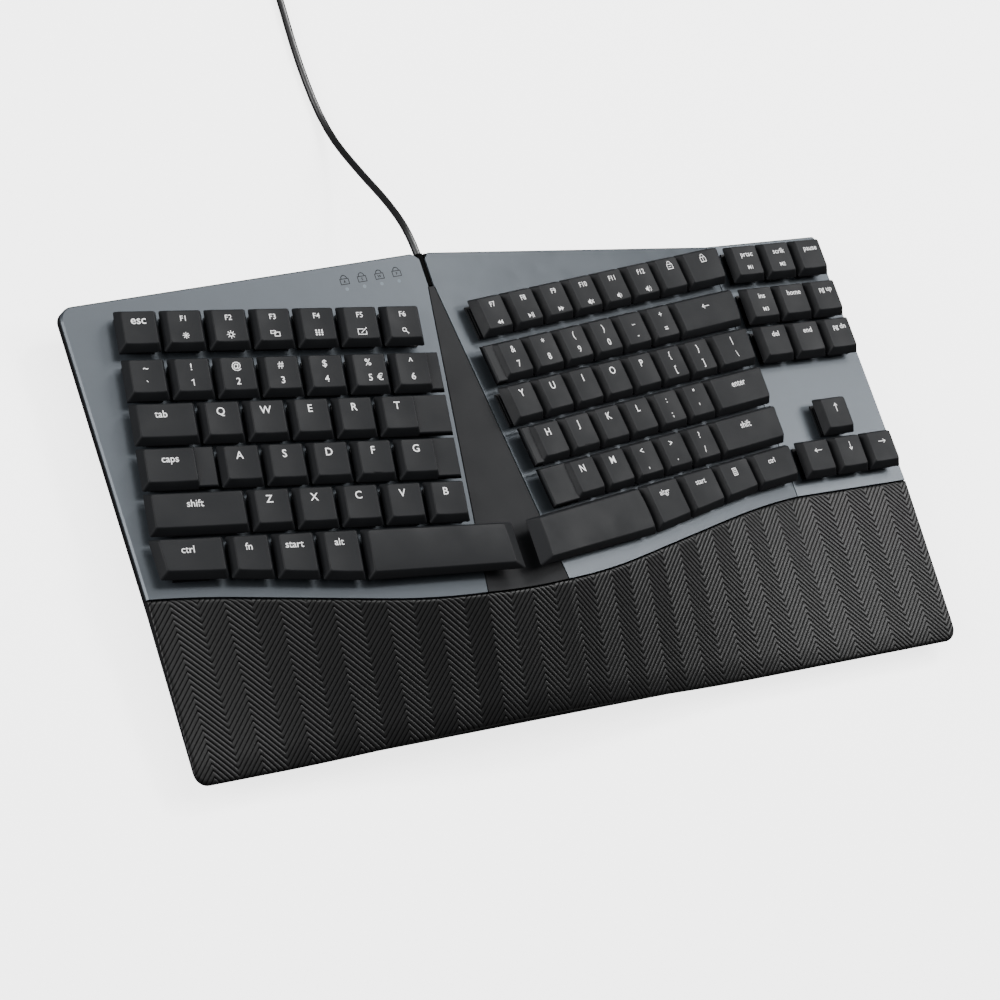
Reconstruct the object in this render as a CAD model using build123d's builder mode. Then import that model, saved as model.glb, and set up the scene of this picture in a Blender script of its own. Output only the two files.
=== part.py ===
from build123d import *
from collections import namedtuple
from math import asin, cos, degrees, pi, radians, sin, sqrt, tan
import os

# Keyboard in two tented halves with a flat navigation block and a wavy palm rest.
# Millimetres. X runs right, Y to the back and Z up. The origin is in the middle of
# the outline, on the table.

# Outline
WIDTH = 398.4
DEPTH = 201.0
LEFT = -WIDTH / 2
RIGHT = WIDTH / 2
FRONT = -DEPTH / 2
BACK = DEPTH / 2
CORNER_R = 6.0
SHARP_CORNER_R = 1.5

# Decks: both halves fall away from a crest, the navigation deck is level
CREST_X = -37.8
TENT = 8.0
NAV_Z = 15.0
CREASE_X = CREST_X + 171.7
CREST_Z = NAV_Z + (CREASE_X - CREST_X) * tan(radians(TENT))
PLATE = 1.5
PLATE_CHAMFER = 0.7
SEAM = 0.5

# Curved line between the decks and the palm rest
SEAM_Y = BACK - 151.3
MID_R = 313.0
SEAM_RISE = 12.0
SEAM_LINE = 61.2
OUTER_R = 430.0

# Centre wedge between the halves, and the cable slot behind it
TURN = 8.0
WEDGE_BACK = BACK - 16.0
WEDGE_TIP = 1.6
WEDGE_T = 2.5
SLOT = 3.0
SLOT_MOUTH = 3.0

# Base shell
FOOT_T = 2.0
FLOOR = 2.0
WALL = 2.5
UNDERCUT = 10.3
SLANT_WALL = 3.0

# Palm rest: height of its front edge, and its layers
FRONT_LEFT_Z = NAV_Z - 4.4
FRONT_RIGHT_Z = NAV_Z - 5.2
WAVE = 9.4
WAVE_X = CREST_X - 4.0
WAVE_HALF = 122.0
ROLL = 10.0
ROLL_BEND = 0.07
PAD_LIP = 1.2
PAD_T = 4.0
FRAME_LIP = 1.6
FRAME_T = 2.0
STATIONS = 24

# Keys, measured from the top face of their deck
PITCH = 19.05
ROW_GAP = 2.0
CAP_GAP = 1.0
TRAVEL = 3.0
SKIRT_Z = 4.5
CAP_H = 4.0
SIDE_DRAFT = 2.1
FRONT_DRAFT = 2.5
BACK_DRAFT = 1.6
CAP_WALL = 1.2
CAP_TOP = 1.3
CAP_R = 1.0
DISH = 0.4
STEP_PART = 0.45
FRONT_STRIP = 6.0

# Switches
HOLE = 14.0
FLANGE = 15.0
FLANGE_T = 0.8
HOUSING = 13.0
BODY = 13.8
BODY_DEPTH = 5.0
SLIDER = 6.0
SLIDE_GAP = 0.3
HOUSING_H = SKIRT_Z - TRAVEL - SLIDE_GAP
STEM = 4.0
STEM_T = 1.2
STEM_GAP = 0.05
POST_R = 2.8
BOARD_T = 1.6

# Screws from below, one per boss
STUB = 3.0
BOSS_R = 3.0
BOSS_FOOT_R = 4.6
SCREW_R = 1.5
SCREW_LENGTH = 7.0
HEAD_R = 2.7
HEAD_T = 2.2

# Feet
PAD_FOOT = (22.0, 8.0)
FOOT_INSET = 1.0
FLIP_WIDTH = 24.0
FLIP_LENGTH = 17.0
FLIP_T = 3.2
FLIP_Y = BACK - 14.5
FLIP_X = (CREST_X - 95.0, CREASE_X + 33.3)
FLIP_ROOF = 1.5
PIN_R = 1.2
PIN = 1.4

Cluster = namedtuple("Cluster", "x y tent turn")
Key = namedtuple("Key", "node row left right step wall_left wall_right")

# Where column 0 of the top row starts on each deck
LEFT_KEYS_AT = Cluster(CREST_X - 144.6, BACK - 25.2, -TENT, -TURN)
RIGHT_KEYS_AT = Cluster(CREST_X + 32.7, BACK - 41.0, TENT, TURN)
NAV_KEYS_AT = Cluster(CREASE_X + 3.9, BACK - 22.0, 0.0, 0.0)

# Key sides that run straight back instead of along their columns, at skirt and top
LEFT_SIDE = (CREST_X - 156.5, CREST_X - 154.3)
RIGHT_SIDE = (CREST_X + 171.2, CREST_X + 169.3)
LEFT_SPACE_SIDE = (CREST_X - 3.6, CREST_X - 9.2)
RIGHT_SPACE_SIDE = (CREST_X + 3.6, CREST_X + 9.2)

# A solid hung from its place, or standing on it
TOP_ALIGNED = (Align.CENTER, Align.CENTER, Align.MAX)
BOTTOM_ALIGNED = (Align.CENTER, Align.CENTER, Align.MIN)

os.makedirs("parts", exist_ok=True)


def save(piece, name):
    piece.label = name
    export_step(piece, f"parts/{name}.step")


def deck_z(x):
    """Height of the top face of the decks."""
    return max(NAV_Z, CREST_Z - abs(x - CREST_X) * tan(radians(TENT)))


def seam_y(x):
    """Where the palm rest begins."""
    away = min(abs(x - CREST_X), CREASE_X - CREST_X)
    rise = radians(SEAM_RISE)
    arc_end = MID_R * sin(rise)
    line_end = arc_end + SEAM_LINE * cos(rise)
    if away <= arc_end:
        return SEAM_Y + MID_R - sqrt(MID_R**2 - away**2)
    flank = SEAM_Y + MID_R * (1 - cos(rise)) + (min(away, line_end) - arc_end) * tan(rise)
    if away <= line_end:
        return flank
    lean = sin(rise) - (away - line_end) / OUTER_R
    return flank + OUTER_R * (sqrt(1 - lean**2) - cos(rise))


def seam_side(shift, reach):
    """Sketch of all that lies on one side of the seam, as far as reach along Y."""
    line_end = MID_R * sin(radians(SEAM_RISE)) + SEAM_LINE * cos(radians(SEAM_RISE))
    lean = sin(radians(SEAM_RISE)) - (CREASE_X - CREST_X - line_end) / OUTER_R
    with BuildSketch() as region:
        with BuildLine():
            ends = []
            for side in (-1, 1):
                start = (CREST_X, SEAM_Y + shift)
                middle = JernArc(start, (side, 0), MID_R - shift, side * SEAM_RISE)
                flank = Line(middle @ 1, middle @ 1 + (middle % 1) * SEAM_LINE)
                outer_turn = -side * (SEAM_RISE - degrees(asin(lean)))
                outer = JernArc(flank @ 1, flank % 1, OUTER_R + shift, outer_turn)
                rest = Line(outer @ 1, outer @ 1 + Vector(side * WIDTH, 0))
                ends.append(rest @ 1)
            Polyline(ends[0], (ends[0].X, reach), (ends[1].X, reach), ends[1])
        make_face()
    return region.sketch


def wedge_half(y):
    """Half of the wedge's width."""
    return WEDGE_TIP + (WEDGE_BACK - y) * tan(radians(TURN))


def wedge_z(y):
    """Top face of the wedge, level with the deck edges beside it."""
    return CREST_Z - wedge_half(y) * tan(radians(TENT))


def half_plan(side, far_x):
    """Corners of the plan of one tented deck, from the wedge out to far_x."""
    near = SLOT / 2
    tip = wedge_half(WEDGE_BACK) + SEAM / 2
    wide = wedge_half(FRONT) + SEAM / 2
    return [
        (far_x, BACK),
        (CREST_X + side * (near + SLOT_MOUTH), BACK),
        (CREST_X + side * near, BACK - SLOT_MOUTH),
        (CREST_X + side * near, WEDGE_BACK),
        (CREST_X + side * tip, WEDGE_BACK),
        (CREST_X + side * wide, FRONT),
        (far_x, FRONT),
    ]


def front_z(x):
    """Front edge of the palm rest."""
    part = (x - LEFT) / WIDTH
    base = FRONT_LEFT_Z + (FRONT_RIGHT_Z - FRONT_LEFT_Z) * part
    off = abs(x - WAVE_X) / WAVE_HALF
    return base + (WAVE * (1 + cos(pi * off)) / 2 if off < 1 else 0)


def seam_z(x):
    """Back edge of the palm rest, level with the decks and the wedge."""
    flat = wedge_half(SEAM_Y)
    return min(deck_z(x), deck_z(CREST_X + flat))


def board_xy(at, x, y, z):
    """Plan position of a point given on a deck's own axes."""
    along = x * cos(radians(at.turn)) - y * sin(radians(at.turn))
    board_x = at.x + along * cos(radians(at.tent)) + z * sin(radians(at.tent))
    return board_x, at.y + x * sin(radians(at.turn)) + y * cos(radians(at.turn))


def place(at, x=0.0, y=0.0, z=0.0):
    """Location of a point given on a deck's own axes, turned with the deck."""
    origin = Location((at.x, at.y, deck_z(at.x)))
    tilted = origin * Location((0, 0, 0), (0, at.tent, 0))
    return tilted * Location((0, 0, 0), (0, 0, at.turn)) * Location((x, y, z))


def row_front(row):
    return 0.0 if row == 0 else -(row * PITCH + ROW_GAP)


def run(node, row, start, count=1, width=1.0, step=0.0, wall_left=None, wall_right=None):
    """Keys side by side. A low step is at the right of the last, or left of the first."""
    keys = []
    for i in range(count):
        beside = (step > 0 and i == count - 1) or (step < 0 and i == 0)
        left = start + i * width
        keys.append(Key(node, row, left, left + width, step if beside else 0.0, wall_left, wall_right))
    return keys


LEFT_KEYS = (
    run("key_esc", 0, 0)
    + run("keys_f1_f6", 0, 1, 6)
    + run("keys_digits_left", 1, 0, 7, step=0.25)
    + run("key_tab", 2, 0, width=1.5)
    + run("keys_upper_left", 2, 1.5, 5, step=0.75)
    + run("key_caps_lock", 3, 0, width=1.35, step=0.4)
    + run("keys_home_left", 3, 1.75, 5, step=0.5)
    + run("key_shift_left", 4, 0, width=2.25)
    + run("keys_lower_left", 4, 2.25, 5)
    + run("key_ctrl_left", 5, 0, width=1.62, wall_left=LEFT_SIDE)
    + run("key_fn", 5, 1.62)
    + run("key_start_left", 5, 2.62)
    + run("key_alt", 5, 3.62)
    + run("key_space_left", 5, 4.62, width=3.38, wall_right=LEFT_SPACE_SIDE)
)

RIGHT_KEYS = (
    run("keys_f7_f12", 0, -1, 7)
    + run("key_lock_wide", 0, 6, width=1.43, wall_right=RIGHT_SIDE)
    + run("keys_digits_right", 1, -1, 6, step=-0.25)
    + run("key_backspace", 1, 5, width=2.23, wall_right=RIGHT_SIDE)
    + run("keys_upper_right", 2, -1.29, 7)
    + run("key_backslash", 2, 5.71, width=1.39, wall_right=RIGHT_SIDE)
    + run("keys_home_right", 3, -1.04, 6, step=-0.21)
    + run("key_enter", 3, 4.96, width=1.96, wall_right=RIGHT_SIDE)
    + run("keys_lower_right", 4, -0.5, 5, step=-0.75)
    + run("key_shift_right", 4, 4.5, width=2.34, wall_right=RIGHT_SIDE)
    + run("key_space_right", 5, -2.23, width=3.69, wall_left=RIGHT_SPACE_SIDE)
    + run("key_altgr", 5, 1.46, width=1.25)
    + run("key_start_right", 5, 2.71, width=1.25)
    + run("key_menu", 5, 3.96, width=1.25)
    + run("key_ctrl_right", 5, 5.21, width=1.45, wall_right=RIGHT_SIDE)
)

NAV_KEYS = (
    run("keys_nav_top", 0, 0, 3)
    + run("keys_nav_middle", 1, 0, 3)
    + run("keys_nav_bottom", 2, 0, 3)
    + run("key_up", 4, 1)
    + run("key_left", 5, 0)
    + run("key_down", 5, 1)
    + run("key_right", 5, 2)
)


def corner(at, x, y, z, wall, strip):
    """A cap corner, held on a side that runs straight back or at a distance from the seam."""
    turn, tent = radians(at.turn), radians(at.tent)
    for _ in range(8):
        if wall is not None:
            x = ((wall - at.x - z * sin(tent)) / cos(tent) + y * sin(turn)) / cos(turn)
        if strip is not None:
            limit = seam_y(board_xy(at, x, y, z)[0]) + strip
            y = (limit - at.y - x * sin(turn)) / cos(turn)
    return x, y


def cap_corners(at, key, level):
    """Corners of a cap from front left to back left. Level is 0 at the skirt and 1 at the top."""
    z = SKIRT_Z + level * CAP_H
    side = CAP_GAP / 2 + level * SIDE_DRAFT
    front = row_front(key.row) + CAP_GAP / 2 + level * FRONT_DRAFT
    back = row_front(key.row) + PITCH - CAP_GAP / 2 - level * BACK_DRAFT
    strip = FRONT_STRIP + level * FRONT_DRAFT if key.row == 5 and at.turn else None
    walls = []
    for wall in (key.wall_left, key.wall_right):
        walls.append(None if wall is None else wall[0] + level * (wall[1] - wall[0]))
    x_left = key.left * PITCH + side
    x_right = key.right * PITCH - side
    return [
        corner(at, x_left, front, z, walls[0], strip),
        corner(at, x_right, front, z, walls[1], strip),
        corner(at, x_right, back, z, walls[1], None),
        corner(at, x_left, back, z, walls[0], None),
    ]


def switch_xy(at, key):
    """Centre of the switch below a cap."""
    top = cap_corners(at, key, 1)
    return sum(x for x, y in top) / 4, row_front(key.row) + PITCH / 2


def inner(points):
    """The same four corners, moved in by the cap's wall."""
    signs = ((1, 1), (-1, 1), (-1, -1), (1, -1))
    return [(x + sx * CAP_WALL, y + sy * CAP_WALL) for (x, y), (sx, sy) in zip(points, signs)]


def keycap(at, key):
    """One hollow cap with a post for its slider, on its deck's own axes."""
    x, y = switch_xy(at, key)
    top = cap_corners(at, key, 1)
    half = (top[1][0] - top[0][0]) / 2
    dish_r = (half**2 + DISH**2) / (2 * DISH)
    ceiling = SKIRT_Z + CAP_H - CAP_TOP
    with BuildPart() as cap:
        with BuildSketch(Plane.XY.offset(SKIRT_Z)) as skirt:
            Polygon(*cap_corners(at, key, 0), align=None)
            fillet(skirt.vertices(), CAP_R)
        with BuildSketch(Plane.XY.offset(SKIRT_Z + CAP_H)) as crown:
            Polygon(*top, align=None)
            fillet(crown.vertices(), CAP_R)
        loft()
        if "space" not in key.node:
            with Locations((x, y, SKIRT_Z + CAP_H + dish_r - DISH)):
                Cylinder(dish_r, 3 * PITCH, rotation=(90, 0, 0), mode=Mode.SUBTRACT)
        if key.step:
            overlap = (CAP_GAP + 1.5 * CAP_WALL) / PITCH
            if key.step > 0:
                beyond = key._replace(left=key.right - overlap, right=key.right + key.step)
            else:
                beyond = key._replace(left=key.left + key.step, right=key.left + overlap)
            with BuildSketch(Plane.XY.offset(SKIRT_Z)):
                Polygon(*cap_corners(at, beyond, 0), align=None)
            low = cap_corners(at, beyond, STEP_PART)
            kept = STEP_PART * SIDE_DRAFT
            if key.step > 0:
                low = [(low[0][0] - kept, low[0][1]), low[1], low[2], (low[3][0] - kept, low[3][1])]
            else:
                low = [low[0], (low[1][0] + kept, low[1][1]), (low[2][0] + kept, low[2][1]), low[3]]
            with BuildSketch(Plane.XY.offset(SKIRT_Z + STEP_PART * CAP_H)):
                Polygon(*low, align=None)
            loft()
        with BuildSketch(Plane.XY.offset(SKIRT_Z)):
            Polygon(*inner(cap_corners(at, key, 0)), align=None)
        with BuildSketch(Plane.XY.offset(ceiling)):
            Polygon(*inner(top), align=None)
        loft(mode=Mode.SUBTRACT)
        post_z = SKIRT_Z - SLIDE_GAP
        with Locations((x, y, post_z)):
            Cylinder(POST_R, ceiling - post_z + CAP_TOP / 2, align=BOTTOM_ALIGNED)
        with Locations((x, y, post_z)):
            for turned in (0, 90):
                Box(
                    STEM + 2 * STEM_GAP,
                    STEM_T + 2 * STEM_GAP,
                    ceiling - post_z,
                    rotation=(0, 0, turned),
                    align=BOTTOM_ALIGNED,
                    mode=Mode.SUBTRACT,
                )
    return cap.part


def slider_part():
    """The moving part of a switch, with a cross that goes into the cap."""
    shoulder = SKIRT_Z - SLIDE_GAP - STEM_GAP
    bottom = SLIDE_GAP + TRAVEL - BODY_DEPTH + 1.0
    with BuildPart() as slider:
        with Locations((0, 0, bottom)):
            Box(SLIDER, SLIDER, shoulder - bottom, align=BOTTOM_ALIGNED)
        height = SKIRT_Z + CAP_H - CAP_TOP - shoulder - 2 * STEM_GAP
        with Locations((0, 0, shoulder)):
            Box(STEM, STEM_T, height, align=BOTTOM_ALIGNED)
            Box(STEM_T, STEM, height, align=BOTTOM_ALIGNED)
    return slider.part


def housing_part():
    """The fixed part of a switch, clipped into a deck hole."""
    with BuildPart() as housing:
        Box(FLANGE, FLANGE, FLANGE_T, align=BOTTOM_ALIGNED)
        Box(HOUSING, HOUSING, HOUSING_H, align=BOTTOM_ALIGNED)
        Box(BODY, BODY, BODY_DEPTH, align=TOP_ALIGNED)
        with Locations((0, 0, 1.0 - BODY_DEPTH)):
            Box(
                SLIDER + 2 * SLIDE_GAP,
                SLIDER + 2 * SLIDE_GAP,
                BODY_DEPTH + HOUSING_H,
                align=BOTTOM_ALIGNED,
                mode=Mode.SUBTRACT,
            )
    return housing.part


SLIDER_PART = slider_part()
HOUSING_PART = housing_part()


def save_keys(at, keys):
    """Each node of keys: its caps and their sliders, as separate solids."""
    for node in dict.fromkeys(key.node for key in keys):
        with BuildPart() as piece:
            solids = []
            for key in keys:
                if key.node == node:
                    x, y = switch_xy(at, key)
                    solids.append(keycap(at, key).moved(place(at)))
                    solids.append(SLIDER_PART.moved(place(at, x, y)))
            add(solids)
        save(piece.part, node)


def save_housings(at, keys, name):
    with BuildPart() as piece:
        add([HOUSING_PART.moved(place(at, *switch_xy(at, key))) for key in keys])
    save(piece.part, name)


# Bosses for the case screws, between the switches, on each deck's own axes
LEFT_BOSSES = [(PITCH, -ROW_GAP / 2), (6 * PITCH, -ROW_GAP / 2), (1.39 * PITCH, -86.0), (5.25 * PITCH, -86.0)]
RIGHT_BOSSES = [(0.0, -ROW_GAP / 2), (5 * PITCH, -ROW_GAP / 2), (0.9 * PITCH, -86.0), (5.28 * PITCH, -86.0)]
NAV_BOSSES = [
    (PITCH, row_front(1)),
    (2 * PITCH, row_front(1)),
    (0.6 * PITCH, row_front(3) - ROW_GAP),
    (2.4 * PITCH, row_front(3) - ROW_GAP),
]
WEDGE_POSTS = [BACK - 32.5, BACK - 122.5]

boss_places = [place(LEFT_KEYS_AT, x, y) for x, y in LEFT_BOSSES]
boss_places += [place(RIGHT_KEYS_AT, x, y) for x, y in RIGHT_BOSSES]
boss_places += [place(NAV_KEYS_AT, x, y) for x, y in NAV_BOSSES]
boss_places += [Location((CREST_X, y, wedge_z(y) - WEDGE_T + PLATE)) for y in WEDGE_POSTS]


def footprint(inset, radius, sharp_radius, z=0.0):
    """The outline, or the same shape set in, on a level plane."""
    with BuildSketch(Plane.XY.offset(z)) as plan:
        Rectangle(WIDTH - 2 * inset, DEPTH - 2 * inset)
        fillet(plan.vertices().group_by(Axis.X)[0], radius)
        fillet(plan.vertices().group_by(Axis.X)[-1].sort_by(Axis.Y)[0], radius)
        fillet(plan.vertices().group_by(Axis.X)[-1].sort_by(Axis.Y)[-1], sharp_radius)
    return plan.sketch


# Plans shared by several pieces
with BuildSketch() as outline:
    add(footprint(0, CORNER_R, SHARP_CORNER_R))

with BuildSketch() as deck_plan:
    add(outline.sketch)
    add(seam_side(SEAM / 2, BACK + 1), mode=Mode.INTERSECT)

with BuildSketch() as palm_plan:
    add(outline.sketch)
    add(seam_side(-SEAM / 2, FRONT - 1), mode=Mode.INTERSECT)

# Body that the base and all below the decks stay inside: straight sides over an undercut
with BuildPart() as hull:
    underside = footprint(UNDERCUT, CORNER_R / 2, SHARP_CORNER_R / 2, FOOT_T)
    loft([underside, footprint(0, CORNER_R, SHARP_CORNER_R, FOOT_T + UNDERCUT)])
    with BuildSketch(Plane.XY.offset(FOOT_T + UNDERCUT)):
        add(outline.sketch)
    extrude(amount=CREST_Z)

# Everything below the deck plates
with BuildPart() as under_decks:
    with BuildSketch(Plane.XZ):
        drop = PLATE / cos(radians(TENT))
        far = LEFT - CORNER_R
        crease = CREASE_X + (PLATE - drop) / tan(radians(TENT))
        Polygon(
            (far, 0),
            (RIGHT - far + LEFT, 0),
            (RIGHT - far + LEFT, NAV_Z - PLATE),
            (crease, NAV_Z - PLATE),
            (CREST_X, CREST_Z - drop),
            (far, CREST_Z - drop - (CREST_X - far) * tan(radians(TENT))),
            align=None,
        )
    extrude(amount=DEPTH, both=True)


def palm_above(front_drop, back_drop):
    """All of the palm rest's plan above a surface set below its front and back edges."""
    with BuildPart() as above:
        for i in range(STATIONS + 1):
            x = LEFT - CORNER_R + i * (WIDTH + 2 * CORNER_R) / STATIONS
            near = (FRONT, front_z(x) - front_drop)
            back = (seam_y(x), seam_z(x) - back_drop)
            slope = (back[1] - near[1]) / (back[0] - near[0])
            reach = 2 * CORNER_R
            with BuildSketch(Plane.YZ.offset(x)):
                Polygon(
                    (near[0] - reach, near[1] - reach * slope),
                    (back[0] + reach, back[1] + reach * slope),
                    (back[0] + reach, 2 * CREST_Z),
                    (near[0] - reach, 2 * CREST_Z),
                    align=None,
                )
        loft(ruled=True)
        with BuildSketch():
            add(palm_plan.sketch)
        extrude(amount=2 * CREST_Z, mode=Mode.INTERSECT)
    return above.part


ABOVE_FRAME_TOP = palm_above(PAD_LIP, PAD_T)
ABOVE_FRAME_BOTTOM = palm_above(PAD_LIP + FRAME_LIP, PAD_T + FRAME_T)

# The wavy top of the palm rest
with BuildPart() as palm_rest_pad:
    for i in range(STATIONS + 1):
        x = LEFT - CORNER_R + i * (WIDTH + 2 * CORNER_R) / STATIONS
        back = Vector(seam_y(x), seam_z(x))
        edge = Vector(FRONT, front_z(x))
        slope = (back.Y - edge.Y) / (back.X - edge.X)
        shoulder = Vector(FRONT + ROLL, edge.Y + ROLL * (slope + ROLL_BEND))
        fall = (back - shoulder).normalized()
        with BuildSketch(Plane.YZ.offset(x)):
            with BuildLine():
                top = Line(back + fall * CORNER_R, shoulder)
                roll = TangentArc(shoulder, edge, tangent=-fall)
                lip = Line(edge, edge + (roll % 1) * CORNER_R)
                Polyline(lip @ 1, ((lip @ 1).X, -CORNER_R), ((top @ 0).X, -CORNER_R), top @ 0)
            make_face()
    loft()
    add(ABOVE_FRAME_TOP, mode=Mode.INTERSECT)
save(palm_rest_pad.part, "palm_rest_pad")

with BuildPart() as palm_rest_frame:
    add(ABOVE_FRAME_BOTTOM)
    add(ABOVE_FRAME_TOP, mode=Mode.SUBTRACT)
    add(hull.part, mode=Mode.INTERSECT)
save(palm_rest_frame.part, "palm_rest_frame")


def on_outline(edge):
    """Whether an edge of a plate lies at the outside of the case."""
    middle = edge.center()
    return abs(middle.X) > WIDTH / 2 - CORNER_R or middle.Y > BACK - SLOT_MOUTH / 4


def deck_plate(plan, at, keys, bosses):
    """A plate of one deck: switch holes through it and screw stubs below it."""
    slope = Location((CREST_X, 0, CREST_Z), (0, at.tent, 0)) if at.tent else Location((0, 0, NAV_Z))
    with BuildPart() as plate:
        with BuildSketch():
            Polygon(*plan, align=None)
            add(deck_plan.sketch, mode=Mode.INTERSECT)
        extrude(amount=2 * CREST_Z)
        with Locations(slope):
            Box(3 * WIDTH, 3 * DEPTH, PLATE, align=TOP_ALIGNED, mode=Mode.INTERSECT)
        broad = plate.faces().sort_by(SortBy.AREA)[-2:]
        rim = broad.sort_by(Axis.Z)[-1].outer_wire().edges()
        chamfer(rim.filter_by(on_outline), PLATE_CHAMFER)
        with Locations([place(at, *switch_xy(at, key)) for key in keys]):
            Box(HOLE, HOLE, 3 * PLATE, mode=Mode.SUBTRACT)
        with Locations([place(at, x, y, -PLATE) for x, y in bosses]):
            Cylinder(BOSS_R, STUB, align=TOP_ALIGNED)
            Cylinder(SCREW_R, STUB, align=TOP_ALIGNED, mode=Mode.SUBTRACT)
    return plate.part


LENS_X = [CREST_X - 37.6 + i * 8.0 for i in range(4)]
LENS_Y = BACK - 11.3
LENS_R = 0.8

lens_places = [Location((x, LENS_Y, deck_z(x)), (0, -TENT, 0)) for x in LENS_X]

with BuildPart() as left_deck_plate:
    add(deck_plate(half_plan(-1, LEFT), LEFT_KEYS_AT, LEFT_KEYS, LEFT_BOSSES))
    with Locations(lens_places):
        Cylinder(LENS_R, 3 * PLATE, mode=Mode.SUBTRACT)
save(left_deck_plate.part, "left_deck_plate")

with BuildPart() as right_deck_plate:
    add(deck_plate(half_plan(1, CREASE_X - SEAM / 2), RIGHT_KEYS_AT, RIGHT_KEYS, RIGHT_BOSSES))
save(right_deck_plate.part, "right_deck_plate")

nav_plan = [
    (CREASE_X + SEAM / 2, FRONT),
    (RIGHT, FRONT),
    (RIGHT, BACK),
    (CREASE_X + SEAM / 2, BACK),
]
with BuildPart() as nav_deck_plate:
    add(deck_plate(nav_plan, NAV_KEYS_AT, NAV_KEYS, NAV_BOSSES))
save(nav_deck_plate.part, "nav_deck_plate")

with BuildPart() as status_lenses:
    with Locations(lens_places):
        Cylinder(LENS_R, PLATE, align=TOP_ALIGNED)
save(status_lenses.part, "status_lenses")

with BuildPart() as centre_wedge:
    with BuildSketch():
        tip = wedge_half(WEDGE_BACK) - SEAM / 2
        wide = wedge_half(FRONT) - SEAM / 2
        Polygon(
            (CREST_X - wide, FRONT),
            (CREST_X + wide, FRONT),
            (CREST_X + tip, WEDGE_BACK),
            (CREST_X - tip, WEDGE_BACK),
            align=None,
        )
        add(deck_plan.sketch, mode=Mode.INTERSECT)
    extrude(amount=2 * CREST_Z)
    with BuildSketch(Plane.YZ.offset(CREST_X)):
        Polygon(
            (FRONT, wedge_z(FRONT) - WEDGE_T),
            (BACK, wedge_z(BACK) - WEDGE_T),
            (BACK, wedge_z(BACK)),
            (FRONT, wedge_z(FRONT)),
            align=None,
        )
    extrude(amount=WIDTH / 2, both=True, mode=Mode.INTERSECT)
    with Locations([(CREST_X, y, wedge_z(y) - WEDGE_T - STUB) for y in WEDGE_POSTS]):
        Cylinder(BOSS_R, STUB + WEDGE_T / 2, align=BOTTOM_ALIGNED)
        Cylinder(SCREW_R, STUB, align=BOTTOM_ALIGNED, mode=Mode.SUBTRACT)
save(centre_wedge.part, "centre_wedge")

# Switches and keys
save_housings(LEFT_KEYS_AT, LEFT_KEYS, "left_switch_housings")
save_housings(RIGHT_KEYS_AT, RIGHT_KEYS, "right_switch_housings")
save_housings(NAV_KEYS_AT, NAV_KEYS, "nav_switch_housings")
save_keys(LEFT_KEYS_AT, LEFT_KEYS)
save_keys(RIGHT_KEYS_AT, RIGHT_KEYS)
save_keys(NAV_KEYS_AT, NAV_KEYS)


def circuit_board(at, corners, bosses):
    """A board below a deck's switches, with a hole around each boss."""
    with BuildPart() as board:
        with BuildSketch(Plane.XY.offset(-BODY_DEPTH)):
            Polygon(*corners, align=None)
            with Locations(bosses):
                Circle(BOSS_R + 0.5, mode=Mode.SUBTRACT)
        extrude(amount=-BOARD_T)
    return board.part.moved(place(at))


BOARD_FRONT = -96.5
BOARD_BACK = 15.5

with BuildPart() as left_circuit_board:
    left_board = [(3, BOARD_FRONT), (134, BOARD_FRONT), (134, BOARD_BACK), (3, BOARD_BACK)]
    add(circuit_board(LEFT_KEYS_AT, left_board, LEFT_BOSSES))
save(left_circuit_board.part, "left_circuit_board")

with BuildPart() as right_circuit_board:
    right_board = [(-20, BOARD_FRONT), (124, BOARD_FRONT), (137, BOARD_BACK), (-20, BOARD_BACK)]
    add(circuit_board(RIGHT_KEYS_AT, right_board, RIGHT_BOSSES))
save(right_circuit_board.part, "right_circuit_board")

with BuildPart() as nav_circuit_board:
    nav_board = [(0.5, BOARD_FRONT), (53.5, BOARD_FRONT), (53.5, BOARD_BACK - 2), (0.5, BOARD_BACK - 2)]
    add(circuit_board(NAV_KEYS_AT, nav_board, NAV_BOSSES))
save(nav_circuit_board.part, "nav_circuit_board")

FLOOR_Z = FOOT_T + FLOOR
STANDOFF = 4.0
CONTROLLER = (22.0, 60.0)
CONTROLLER_Y = (WEDGE_POSTS[0] + WEDGE_POSTS[1]) / 2
standoffs = [
    (CREST_X + sx * (CONTROLLER[0] / 2 - 3), CONTROLLER_Y + sy * (CONTROLLER[1] / 2 - 3), FLOOR_Z - FLOOR / 2)
    for sx in (-1, 1)
    for sy in (-1, 1)
]

with BuildPart() as controller_board:
    with Locations((CREST_X, CONTROLLER_Y, FLOOR_Z + STANDOFF)):
        Box(CONTROLLER[0], CONTROLLER[1], BOARD_T, align=BOTTOM_ALIGNED)
    with Locations((CREST_X, CONTROLLER_Y, FLOOR_Z + STANDOFF + BOARD_T)):
        Box(10, 10, 1.4, align=BOTTOM_ALIGNED)
    with Locations((CREST_X, CONTROLLER_Y + CONTROLLER[1] / 2 - 5, FLOOR_Z + STANDOFF + BOARD_T)):
        Box(9, 6, 3.2, align=BOTTOM_ALIGNED)
save(controller_board.part, "controller_board")

# Strain relief in the back wall, filling the slot between the decks
EXIT_Z = CREST_Z - 2.5
RELIEF_W = 6.0
RELIEF_BOTTOM = EXIT_Z - 3.6
RELIEF_SHOULDER = CREST_Z - 2.2
relief_back = BACK - 0.2

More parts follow.
